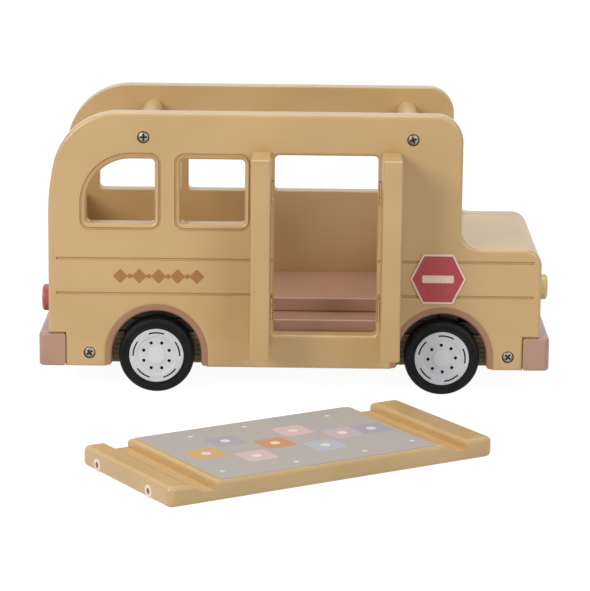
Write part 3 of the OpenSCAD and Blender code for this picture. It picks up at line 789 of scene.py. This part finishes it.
def screw(x, z, side):
    """A cross-head screw with a domed head, its cross turned by as many degrees as X has millimetres."""
    profile = [(SCREW_HEAD_R * out, SCREW_HEAD_H * down) for out, down in SCREW_DOME]
    profile += [(SCREW_R, SCREW_HEAD_H), (SCREW_R, SCREW_L - SCREW_TIP), (0, SCREW_L)]
    arm = Vector((CROSS_L / 2, CROSS_W / 2, 0))
    rise = Vector((0, 0, OVER))
    drop = Vector((0, 0, CROSS_D))
    # the cross's faces take the dark recess steel: painted shade
    bars = [marked(rounded_box(-way - rise, way + drop, 0)) for way in (arm, arm.yxz)]
    turn = Matrix.Rotation(math.radians(x), 4, "Z")
    mesh = cut(lathe(profile, SMALL_STEPS), bars)
    return placed(mesh, inward(x, z, side) @ moved(z=SCREW_SINK) @ turn)


def make_screws():
    """The screws into the dowels and those into the base, on both sides."""
    rows = {"upper_screws": (DOWEL_X.values(), DOWEL_Z), "lower_screws": (SCREW_XS, SCREW_Z)}
    for node, (xs, z) in rows.items():
        screws = joined([screw(x, z, side) for x in xs for side in SIDES.values()])
        dress(node, screws, FINISH["screw_steel"], RECESS_SHADE)


# Hinges
HINGE_H = 14
PLATE_L = 9
PLATE_T = 0.8
LEAF_CLEAR = 0.3
RELIEF_R = 1.6
LEAF = {end: span(end + "_door_leaf") for end in ("rear", "front")}
HINGE_INSET = 25
HINGE_ZS = (LEAF["rear"][0].z + HINGE_INSET, LEAF["rear"][1].z - HINGE_INSET)
# Way along X from the middle of the bus to each end
OUTWARD = {"rear": -1, "front": 1}


def hinge_tools(end, plate_low, plate_high):
    """The tools of both hinge seats on one side of a leaf's axis, between two heights over the face."""
    x, y = AXIS[end + "_door_swing"].xy
    ends = sorted((x, x + OUTWARD[end] * PLATE_L))
    reach = HINGE_H / 2 + LEAF_CLEAR
    tools = []
    for z in HINGE_ZS:
        tools.append(placed(disc(RELIEF_R, -reach, reach), moved(x, y, z)))
        tools.append(rounded_box((ends[0], y + plate_low, z - HINGE_H / 2),
                                 (ends[1], y + plate_high, z + HINGE_H / 2), 0))
    return tools


def groove_tools(side):
    """The tools of the lines round the windows and of the two belts, whose faces take the darker groove lacquer of
    painted shade.
    """
    y = side * (HALF_W - GROOVE_D + GROOVE_R)
    rings = [tube([(u, y, v) for u, v in outline], GROOVE_R, True)
             for outline in window_outlines(side, RING_GAP)]
    belts = [tube([(REAR_X + BELT_MARGIN, y, z), (NOSE_X - BELT_MARGIN, y, z)], GROOVE_R, False)
             for z in BELT_ZS]
    return [marked(tool) for tool in rings + belts]


def make_panel(node, side):
    """A side panel with its openings, routed lines, screw holes and hinge seats."""
    openings = window_outlines(side)
    if side == RIGHT:
        openings.append(rounded((DOOR_X, DOOR_SILL_Z), (DOOR_X + DOOR, DOOR_TOP), DOOR_R))
    y = side * (HALF_W - PANEL_T / 2)
    tools = groove_tools(side)
    tools += [screw_hole(x, DOWEL_Z, side) for x in DOWEL_X.values()]
    tools += [screw_hole(x, SCREW_Z, side) for x in SCREW_XS]
    if side == RIGHT:
        for end in OUTWARD:
            tools += hinge_tools(end, -OVER, PLATE_T)
    edges = (PANEL_EDGE, PANEL_BACK_EDGE)[::-side]
    blank = upright(two_edged_board([panel_outline()] + openings, PANEL_T, *edges), y)
    return dress(node, cut(blank, tools), TAN_X, TAN_GROOVE_SHADE)


# Arch liners
LINER_T = 3.6
LINER_SET = 0.6
LINER_EDGE = 2.0
LINER_BACK_EDGE = 0.6
LINER_LIFT = 0.8
LINER_STEPS = 6
LINER_FOOT_R = 2.4


def make_liner(node, x, side):
    """A band bent round one arch, laid into the panel's round edge and rounded over itself.

    Each leg ends in a round corner: near its foot, the inner side of the section is moved outwards.
    """
    inner = ARCH_R - LINER_T
    meet = math.degrees(math.asin(1 - LINER_SET / PANEL_EDGE))
    back = (inner + LINER_BACK_EDGE, PANEL_T - LINER_BACK_EDGE)
    front = (inner + LINER_EDGE, LINER_SET + LINER_EDGE)
    section = (arc((ARCH_R + PANEL_EDGE, PANEL_EDGE), PANEL_EDGE, 180 + meet, 180, LINER_STEPS)
               + [(ARCH_R, PANEL_T)]
               + arc(back, LINER_BACK_EDGE, 90, 180, LINER_STEPS)
               + arc(front, LINER_EDGE, 180, 270, LINER_STEPS))
    foot = (inner + LINER_FOOT_R, FOOT_Z + LINER_LIFT + LINER_FOOT_R)
    corner = arc(foot, LINER_FOOT_R, 270, 180, LINER_STEPS)
    stations = [((-1, 0), z, least) for least, z in corner]
    stations += [(point, ARCH_Z, inner) for point in arc((0, 0), 1, 180, 0, 2 * ARC_STEPS)]
    stations += [((1, 0), z, least) for least, z in reversed(corner)]
    shape = bmesh.new()
    rings = []
    for way, z, least in stations:
        points = [(max(r, least), side * (HALF_W - depth)) for r, depth in section]
        rings.append([shape.verts.new((x + r * way[0], y, z + r * way[1])) for r, y in points])
    for here, there in zip(rings, rings[1:]):
        for i in range(len(section)):
            shape.faces.new((here[i - 1], here[i], there[i], there[i - 1]))
    shape.faces.new(rings[0])
    shape.faces.new(rings[-1])
    mesh = tidied(set_shape(bpy.data.meshes.new("liner"), shape))
    return dress(node, mesh, LINER_SHADED_TERRACOTTA)


def make_body():
    """The boards, liners, axle blocks, dowels, bumpers and screws that are fixed together."""
    for name, side in SIDES.items():
        make_panel(name + "_side_panel", side)
        for end, x in AXLE_X.items():
            make_liner(f"{end}_{name}_arch_liner", x, side)
    for node, finish in {"rear_wall": TAN_Y, "front_wall": TAN_Y, "dash_board": TAN_SHADED_FOOT,
                         "base_board": TERRACOTTA_SHADED_WELL}.items():
        dress(node, rounded_box(*span(node), WALL_EDGE), finish)
    make_hood()
    make_floor()
    for end, x in AXLE_X.items():
        low, high = span(end + "_axle_block")
        length = high.y - low.y + 2 * OVER
        bore = placed(disc(AXLE_R, 0, length), moved(x, high.y + OVER, WHEEL_R) @ UPRIGHT)
        dress(end + "_axle_block", cut(rounded_box(low, high, BLOCK_EDGE), [bore]))
        make_dowel(end)
        make_bumper(end)
    make_screws()


def make_hood():
    """The board over the nose, between the panels."""
    outline = ([(SCREEN_X, HOOD_Z), (SCREEN_X, HOOD_LOW.z), (NOSE_X, HOOD_LOW.z)]
               + arc((NOSE_X - NOSE_R, HOOD_Z - NOSE_R), NOSE_R, 0, 90))
    mesh = board([outline], HOOD_HIGH.y - HOOD_LOW.y, HOOD_EDGE)
    dress("hood_board", upright(mesh, 0), TAN_Y)


# Floor: the well at the door is a little wider than the opening
WELL_MARGIN = 4
WELL_D = 25
FLOOR_CORNER_R = 1.5


def make_floor():
    """The floor board, with a step well at the door."""
    low, high = span("floor_board")
    well_y = low.y + WELL_D
    plan = [(low.x, low.y), (low.x, high.y), (high.x, high.y), (high.x, low.y),
            (DOOR_X + DOOR + WELL_MARGIN, low.y), (DOOR_X + DOOR + WELL_MARGIN, well_y),
            (DOOR_X - WELL_MARGIN, well_y), (DOOR_X - WELL_MARGIN, low.y)]
    mesh = board([filleted(plan, FLOOR_CORNER_R)], high.z - low.z, FLOOR_EDGE)
    dress("floor_board", placed(mesh, moved(z=(low.z + high.z) / 2)), TERRACOTTA_FLOOR_LIT_AND_SHADED)


# Dowels and bumpers
DOWEL_CHAMFER = 0.5
BUMPER_R = 4


def make_dowel(end):
    """A dowel across the bus, under the panels' top edges."""
    mesh = rod(DOWEL_R, DOWEL_HIGH.y - DOWEL_LOW.y, DOWEL_CHAMFER)
    mesh = placed(mesh, moved(DOWEL_X[end], DOWEL_HIGH.y, DOWEL_Z) @ UPRIGHT)
    dress(end + "_dowel", mesh, TAN_Y)


def make_bumper(end):
    """A bumper with round outer corners, let into the panels' notches."""
    low, high = span(end + "_bumper")
    out = high.x if end == "front" else low.x
    back = low.x if end == "front" else high.x
    turn = OUTWARD[end] * BUMPER_R
    quarter = [math.pi / 2 * i / ARC_STEPS for i in range(ARC_STEPS + 1)]
    plan = [(back, low.y), (back, high.y)]
    plan += [(out - turn + turn * math.sin(a), high.y - BUMPER_R + BUMPER_R * math.cos(a)) for a in quarter]
    plan += [(out - turn + turn * math.cos(a), low.y + BUMPER_R - BUMPER_R * math.sin(a)) for a in quarter]
    mesh = board([plan], high.z - low.z, BUMPER_EDGE)
    dress(end + "_bumper", placed(mesh, moved(z=(low.z + high.z) / 2)), TERRACOTTA_Y)


# Lamps: a round brow, and a low crown that halfway out has fallen by a third
LAMP_ROUND = 1.6
LAMP_CROWN = 0.35
LAMP_FOOT = 0.3
LAMP_BROW_ANGLE = 80


def make_lamps():
    """A pair of headlights on the nose and a pair of tail lights at the rear."""
    for node, face_x, way in (("headlights", NOSE_X, 1), ("taillights", REAR_X, -1)):
        low, high = span(node)
        radius = (high.z - low.z) / 2
        reach = high.x - low.x
        brow = reach - LAMP_CROWN
        profile = ([(0, 0), (radius - LAMP_FOOT, 0), (radius, LAMP_FOOT)]
                   + arc((radius - LAMP_ROUND, brow - LAMP_ROUND), LAMP_ROUND, 0, LAMP_BROW_ANGLE)
                   + [(radius / 2, reach - LAMP_CROWN / 3), (0, reach)])
        turn = Matrix.Rotation(math.radians(90 * way), 4, "Y")
        lamps = [placed(lathe(profile), moved(face_x, y, low.z + radius) @ turn)
                 for y in (low.y + radius, high.y - radius)]
        dress(node, joined(lamps))


# Sign: a pale border, a red field and a plain bar
SIGN_BORDER = 1.15
SIGN_EDGE_L = 18.4
SIGN_BAR = (19.0, 4.6)
SIGN_BAR_R = 0.9
PRINT_T = 0.08


def make_sign():
    """A six-sided plate with its field and bar printed on it."""
    low, high = span("sign_plate")
    centre = Vector(((low.x + high.x) / 2, (low.z + high.z) / 2))
    tip = Vector(((high.x - low.x) / 2, 0))
    corner = Vector((SIGN_EDGE_L / 2, (high.z - low.z) / 2))
    fall = Vector((corner.x, -corner.y))
    ring = [tip, corner, -fall, -tip, -corner, fall]
    plate = board([[centre + point for point in ring]], high.y - low.y, SIGN_EDGE)
    dress("sign_plate", upright(plate, (low.y + high.y) / 2))
    share = 1 - SIGN_BORDER / corner.y
    red = board([[centre + share * point for point in ring]], PRINT_T)
    inlay("sign_field", "sign_plate", upright(red, low.y), SIGN_RED)
    reach = Vector(SIGN_BAR) / 2
    bar = board([rounded(centre - reach, centre + reach, SIGN_BAR_R)], PRINT_T)
    inlay("sign_bar", "sign_plate", upright(bar, low.y - PRINT_T / 2), FINISH["sign_paint"])


# Band on the door side: plain diamonds and dots between the two belts
BAND_X = (-105.0, -59.0)
BAND_Z = 71.6
DIAMOND_R = 4.6
DOT_R = 1.5
DIAMONDS = 5
DIAMOND_CORNER_R = 0.4


def make_band():
    """A row of diamonds, with a dot between each two."""
    pitch = (BAND_X[1] - BAND_X[0]) / (DIAMONDS - 1)
    shapes = []
    for i in range(2 * DIAMONDS - 1):
        centre = (BAND_X[0] + pitch * i / 2, BAND_Z)
        if i % 2:
            outline = circle(centre, DOT_R)
        else:
            outline = filleted(arc(centre, DIAMOND_R, 0, 270, 3), DIAMOND_CORNER_R)
        shapes.append(upright(board([outline], PRINT_T), -HALF_W))
    inlay("side_band", "right_side_panel", joined(shapes), BAND_BROWN)


# Wheels
DISH_R = 11.7
DISH_D = 0.5
CAP_R = 5.3
VENTS = 8
VENT_RING_R = 8.3
VENT_R = 1.0
SLOTS = 5
SLOT_RING_R = 14.1
SLOT_W = 0.9
SLOT_ANGLE = 38
VENT_D = 3.0
HUB_SKIN = 4
SHOULDER_R = 2.8
RIM_LIP = 0.5
AXLE_CHAMFER = 0.4
# Bead and hollow of the tyre: radius over the rim and depth under the tyre's face
TYRE_BEAD = [(0, 0.6), (0.35, 0.15), (0.9, 0.05), (1.5, 0.35), (2.3, 0.4), (3.1, 0.12)]
# Rolled edge of the rim, step of its dish, edge of the cap: radius and depth under the face
RIM_ROLL = [(0, RIM_LIP), (-0.15, 0.15), (-RIM_LIP, 0), (-1.1, 0.06)]
DISH_STEP = [(0.5, 0.06), (0.15, 0.12), (-0.2, 0.42), (-0.6, DISH_D)]
CAP_ROLL = [(0, DISH_D), (0, 0.3), (-0.12, 0.1), (-0.5, 0)]
WHEEL_TURN = {"rear": 0, "front": math.radians(-154.2)}


def wheel_place(end, side):
    """A wheel's inner face, with +Z outwards, turned as the wheelset stands."""
    stand = moved(AXLE_X[end], side * (WHEEL_OUT_Y - WHEEL_W), WHEEL_R)
    outwards = Matrix.Rotation(math.radians(-90 * side), 4, "X")
    return stand @ outwards @ Matrix.Rotation(WHEEL_TURN[end], 4, "Z")


def beside(radius, points):
    """Points of a wheel's outer face, from radii past one radius and depths under the face."""
    return [(radius + past, WHEEL_W - depth) for past, depth in points]


def tyre_mesh():
    """A tyre with a bead against the rim, a hollow above it and round shoulders."""
    inside = [(RIM_R + past, depth) for past, depth in TYRE_BEAD]
    inside += arc((WHEEL_R - SHOULDER_R, SHOULDER_R), SHOULDER_R, 270, 360)
    outside = [(radius, WHEEL_W - height) for radius, height in reversed(inside)]
    return lathe(inside + outside, WHEEL_STEPS, closed=True)


def rim_mesh():
    """A rim with a rolled lip, a dished ring, round vents and curved slots."""
    hub = WHEEL_W - HUB_SKIN
    profile = [(0, hub), (AXLE_R, hub), (AXLE_R, 0), (RIM_R - RIM_LIP, 0), (RIM_R, RIM_LIP)]
    profile += beside(RIM_R, RIM_ROLL) + beside(DISH_R, DISH_STEP) + [(0, WHEEL_W - DISH_D)]
    tools = []
    for i in range(VENTS):
        turn = Matrix.Rotation(math.tau * (i + 0.5) / VENTS, 4, "Z")
        drill = disc(VENT_R, WHEEL_W - VENT_D, WHEEL_W + OVER)
        tools.append(placed(drill, turn @ moved(VENT_RING_R)))
    for i in range(SLOTS):
        middle = 90 + 360 * i / SLOTS
        start, end = middle - SLOT_ANGLE / 2, middle + SLOT_ANGLE / 2
        outline = (arc((0, 0), SLOT_RING_R + SLOT_W / 2, start, end)
                   + arc((0, 0), SLOT_RING_R - SLOT_W / 2, end, start))
        tools.append(placed(board([outline], 2 * VENT_D), moved(z=WHEEL_W)))
    return cut(lathe(profile, WHEEL_STEPS), [marked(tool) for tool in tools])


def cap_mesh():
    """A low cap with a soft edge."""
    return lathe([(0, WHEEL_W - DISH_D)] + beside(CAP_R, CAP_ROLL) + [(0, WHEEL_W)])


def make_wheels():
    """Both wheelsets: an axle and two wheels each."""
    for end in AXLE_X:
        low, high = span(end + "_axle")
        axle = rod(AXLE_R, high.y - low.y, AXLE_CHAMFER)
        dress(end + "_axle", placed(axle, moved(AXLE_X[end], high.y, WHEEL_R) @ UPRIGHT))
        for name, side in SIDES.items():
            place = BUS @ wheel_place(end, side)
            dress(f"{end}_{name}_tyre", tyre_mesh(), place=place)
            dress(f"{end}_{name}_rim", rim_mesh(), FINISH["rim_plastic"], VENT_DARK, place=place)
            dress(f"{end}_{name}_hub_cap", cap_mesh(), place=place)


def make_doors():
    """Both door leaves and their hinges, standing open."""
    for end in OUTWARD:
        leaf = rounded_box(*LEAF[end], LEAF_EDGE)
        tools = hinge_tools(end, -LEAF_CLEAR - PLATE_T, OVER)
        dress(end + "_door_leaf", cut(leaf, tools), TAN_Z)
        for node in (end + "_hinge_plates", end + "_leaf_plates", end + "_hinge_pins"):
            finish_solid(node)


def finish_solid(node):
    """A solid that is shown as it is, with its finish."""
    materials = frame["nodes"][node].data.materials
    materials.clear()
    materials.append(FINISH[SLOT[node]])


# Roof board, on the ground beside the door with its grooves up
ROOF_X = -64.0
ROOF_AWAY = 246.6
ROOF_Y = -HALF_W - ROOF_AWAY
ROOF = BUS @ moved(ROOF_X, ROOF_Y) @ Matrix.Rotation(ROOF_TURN, 4, "Z")
ROOF_W = 98.2
ROOF_T = span("roof_board")[1].z
ROOF_GROOVE_D = 5
FRONT_LIP = 11
RAMP = 10.5
SEAT = 7.2
BACK_LIP = 18.2
FRONT_WALL = FRONT_LIP + RAMP + SEAT
BACK_WALL = FRONT_WALL + DOWEL_X["front"] - DOWEL_X["rear"]
ROOF_L = BACK_WALL + BACK_LIP
ROOF_CORNER_R = 4
ROOF_SHOULDER_R = 2.4
RAMP_STEPS = 12
MAT_MARGIN = 1.6
MAT_FRONT_MARGIN = 4
MAT_T = 0.4
MAT_CORNER_R = 1.0
MAT_LOW = (FRONT_WALL + MAT_FRONT_MARGIN, MAT_MARGIN)
MAT_HIGH = (BACK_WALL - SEAT - RAMP - MAT_MARGIN, ROOF_W - MAT_MARGIN)
MARKER_R = 3.6
MARKER_T = 0.6
MARKER_Z = 4.2
MARKER_FIRST_W = 22.7
MARKER_PITCH = 57.7
MARKER_WS = (MARKER_FIRST_W, MARKER_FIRST_W + MARKER_PITCH)
MARKER_CORE_SHARE = 0.46

# Tiles of the play mat: shares of its length and width, and an ink
TILE_SHARES = [
    (0.13, 0.50, "ochre"), (0.29, 0.32, "pink"), (0.29, 0.68, "lavender"), (0.45, 0.50, "orange"),
    (0.61, 0.32, "blue"), (0.61, 0.68, "pink"), (0.77, 0.50, "lilac"), (0.91, 0.50, "lavender"),
]
DOT_SHARES = [(0.06, 0.14), (0.2, 0.86), (0.38, 0.1), (0.47, 0.9), (0.7, 0.1), (0.86, 0.87),
              (0.95, 0.15)]
# A tile's half side as a share of the mat's width; its corner and the dots as shares of that
TILE_SHARE = 0.1
TILE_CORNER_SHARE = 0.35
TILE_DOT_SHARE = 0.3
SMALL_DOT_SHARE = 0.16


def roof_groove(wall):
    """The tool of a groove with a soft ramp, a flat seat and an upright wall with a round shoulder."""
    shoulder = arc((wall + ROOF_SHOULDER_R, ROOF_T - ROOF_SHOULDER_R), ROOF_SHOULDER_R, 90, 180)
    ramp = []
    for i in range(RAMP_STEPS + 1):
        share = i / RAMP_STEPS
        fall = share * share * (3 - 2 * share)
        ramp.append((wall - SEAT - RAMP * (1 - share), ROOF_T - ROOF_GROOVE_D * fall))
    above = ROOF_T + OVER
    outline = ([(wall - SEAT - RAMP, above)] + ramp + [(wall, ROOF_T - ROOF_GROOVE_D)]
               + shoulder[::-1] + [(wall + ROOF_SHOULDER_R, above)])
    return upright(board([outline], ROOF_W + 2 * OVER), ROOF_W / 2)


def marker_place(w):
    """A marker's place on the board's end, with +Z into the board."""
    return moved(0, w, MARKER_Z) @ Matrix.Rotation(math.radians(90), 4, "Y")


def make_roof():
    """The roof board with its two grooves, its play mat and its end markers."""
    blank = board([rounded((0, 0), (ROOF_L, ROOF_W), ROOF_CORNER_R)], ROOF_T, ROOF_EDGE)
    blank = placed(blank, moved(z=ROOF_T / 2))
    pocket = board([rounded(MAT_LOW, MAT_HIGH, MAT_CORNER_R)], 2 * MAT_T)
    tools = [roof_groove(FRONT_WALL), roof_groove(BACK_WALL), placed(pocket, moved(z=ROOF_T))]
    tools += [placed(disc(MARKER_R, -OVER, MARKER_T), marker_place(w)) for w in MARKER_WS]
    dress("roof_board", cut(blank, tools), TAN_ROOF, place=ROOF)
    film = board([rounded(MAT_LOW, MAT_HIGH, MAT_CORNER_R)], MAT_T)
    dress("play_mat", placed(film, moved(z=ROOF_T - MAT_T / 2)), place=ROOF)
    rings = [placed(disc(MARKER_R, 0, MARKER_T), marker_place(w)) for w in MARKER_WS]
    dress("roof_markers", joined(rings), place=ROOF)
    core = MARKER_R * MARKER_CORE_SHARE
    cores = [placed(disc(core, -PRINT_T / 2, PRINT_T / 2), marker_place(w)) for w in MARKER_WS]
    inlay("marker_cores", "roof_markers", joined(cores), MARKER_MAUVE, ROOF)
    make_tiles()


def on_mat(share_l, share_w):
    """A place on the mat."""
    return Vector((MAT_LOW[0] + share_l * (MAT_HIGH[0] - MAT_LOW[0]),
                   MAT_LOW[1] + share_w * (MAT_HIGH[1] - MAT_LOW[1])))


def make_tiles():
    """Rounded squares in soft colours, with a pale dot in each, and small dots around them."""
    half_side = TILE_SHARE * (MAT_HIGH[1] - MAT_LOW[1])
    corner = Vector((half_side, half_side))
    tiles = {name: [] for name in MAT_INKS}
    for share_l, share_w, name in TILE_SHARES:
        centre = on_mat(share_l, share_w)
        square = rounded(centre - corner, centre + corner, TILE_CORNER_SHARE * half_side)
        tiles[name].append(board([square], PRINT_T))
        dot = board([circle(centre, TILE_DOT_SHARE * half_side)], PRINT_T)
        tiles["white"].append(placed(dot, moved(z=PRINT_T / 2)))
    for shares in DOT_SHARES:
        tiles["white"].append(board([circle(on_mat(*shares), SMALL_DOT_SHARE * half_side)], PRINT_T))
    for name, meshes in tiles.items():
        print_mesh = placed(joined(meshes), moved(z=ROOF_T))
        inlay("mat_tiles_" + name, "play_mat", print_mesh, MAT_INKS[name], ROOF)


# Stage, light and camera
FLOOR_HALF = 6.0
CAMERA_SPOT = (0.003185, -1.615705, 0.430514)
CAMERA_LENS = 173.634
SENSOR_W = 36
FAR_CLIP = 20
CAMERA_PITCH = math.radians(12.459)
CAMERA_YAW = math.radians(-0.103)
CAMERA_ROLL = math.radians(-0.629)
SKY_LIGHT = 0.15
FLOOR_GREY = 0.75
FLOOR_GLOW = 0.95
SHADOW_GREY = 0.2


def seen_directly(field):
    """1 for rays from the camera, from gloss or through glass, else 0."""
    kinds = ("Is Camera Ray", "Is Glossy Ray", "Is Transmission Ray")
    camera, gloss, glass = [field.node("ShaderNodeLightPath", {}, {}, kind) for kind in kinds]
    return field.node("ShaderNodeMath", {"operation": "MINIMUM"}, {0: camera + gloss + glass, 1: 1.0})


def make_ground():
    """The pale ground: seen directly it glows nearly white, and it keeps the shadows."""
    mesh = bpy.data.meshes.new("floor")
    corners = [(-1, -1), (1, -1), (1, 1), (-1, 1)]
    mesh.from_pydata([(FLOOR_HALF * x, FLOOR_HALF * y, 0) for x, y in corners], [], [(0, 1, 2, 3)])
    material = bpy.data.materials.new("white_floor")
    material.use_nodes = True
    tree = material.node_tree
    tree.nodes.remove(tree.nodes["Principled BSDF"])
    field = Field(tree)
    lit = field.node("ShaderNodeBsdfDiffuse", {}, {"Color": (FLOOR_GREY,) * 3 + (1,)})
    faint = field.node("ShaderNodeBsdfDiffuse", {}, {"Color": (SHADOW_GREY,) * 3 + (1,)})
    glow = field.node("ShaderNodeEmission", {}, {"Strength": FLOOR_GLOW})
    shown = field.node("ShaderNodeAddShader", {}, {0: faint, 1: glow})
    mixed = field.node("ShaderNodeMixShader", {}, {0: seen_directly(field), 1: lit, 2: shown})
    field.feed(tree.nodes["Material Output"].inputs["Surface"], mixed)
    mesh.materials.append(material)
    floor = held(mesh)
    floor.name = "floor"


def make_world():
    """A faint even light all round, which is seen as white."""
    world = bpy.data.worlds.new("studio")
    world.use_nodes = True
    field = Field(world.node_tree)
    background = world.node_tree.nodes["Background"]
    background.inputs["Color"].default_value = (1, 1, 1, 1)
    field.feed(background.inputs["Strength"], SKY_LIGHT + (1 - SKY_LIGHT) * seen_directly(field))
    bpy.context.scene.world = world


# Lamps: place and aim in metres, size, power and colour
LAMPS = {
    "key": ((-1.3, -1.2, 1.1), (0, 0.05, 0.08), 0.9, 24.5, "#fffaf2"),
    "overhead": ((0.1, 0.1, 1.6), (0, 0.05, 0), 0.8, 8.5, "#ffffff"),
    "fill": ((1.4, -1.7, 1.1), (0, 0, 0.06), 1.2, 19.0, "#f8faff"),
    "back": ((-0.5, 1.1, 1.8), (0, 0.1, 0.08), 0.8, 5.0, "#ffffff"),
}


def make_lights():
    """Soft square lamps, each turned to its aim."""
    for name, (spot, aim, size, power, tint) in LAMPS.items():
        light = bpy.data.lights.new(name, "AREA")
        light.size = size
        light.energy = power
        light.color = ink(tint)[:3]
        lamp = held(light)
        lamp.location = spot
        lamp.rotation_euler = (Vector(aim) - Vector(spot)).to_track_quat("-Z", "Y").to_euler()


def make_camera():
    """The camera at the photograph's angle."""
    forward = Vector((math.sin(CAMERA_YAW) * math.cos(CAMERA_PITCH),
                      math.cos(CAMERA_YAW) * math.cos(CAMERA_PITCH), -math.sin(CAMERA_PITCH)))
    level = Vector((math.cos(CAMERA_YAW), -math.sin(CAMERA_YAW), 0))
    rise = level.cross(forward)
    across = math.cos(CAMERA_ROLL) * level - math.sin(CAMERA_ROLL) * rise
    above = math.sin(CAMERA_ROLL) * level + math.cos(CAMERA_ROLL) * rise
    data = bpy.data.cameras.new("camera")
    data.lens = CAMERA_LENS
    data.sensor_width = SENSOR_W
    data.sensor_fit = "HORIZONTAL"
    data.clip_end = FAR_CLIP
    camera = held(data)
    camera.matrix_world = moved(*CAMERA_SPOT) @ Matrix((across, above, -forward)).transposed().to_4x4()
    bpy.context.scene.camera = camera


make_camera()
make_body()
make_lamps()
make_sign()
make_band()
make_wheels()
make_doors()
make_roof()
make_ground()
make_world()
make_lights()
bpy.context.scene.view_settings.view_transform = "Standard"
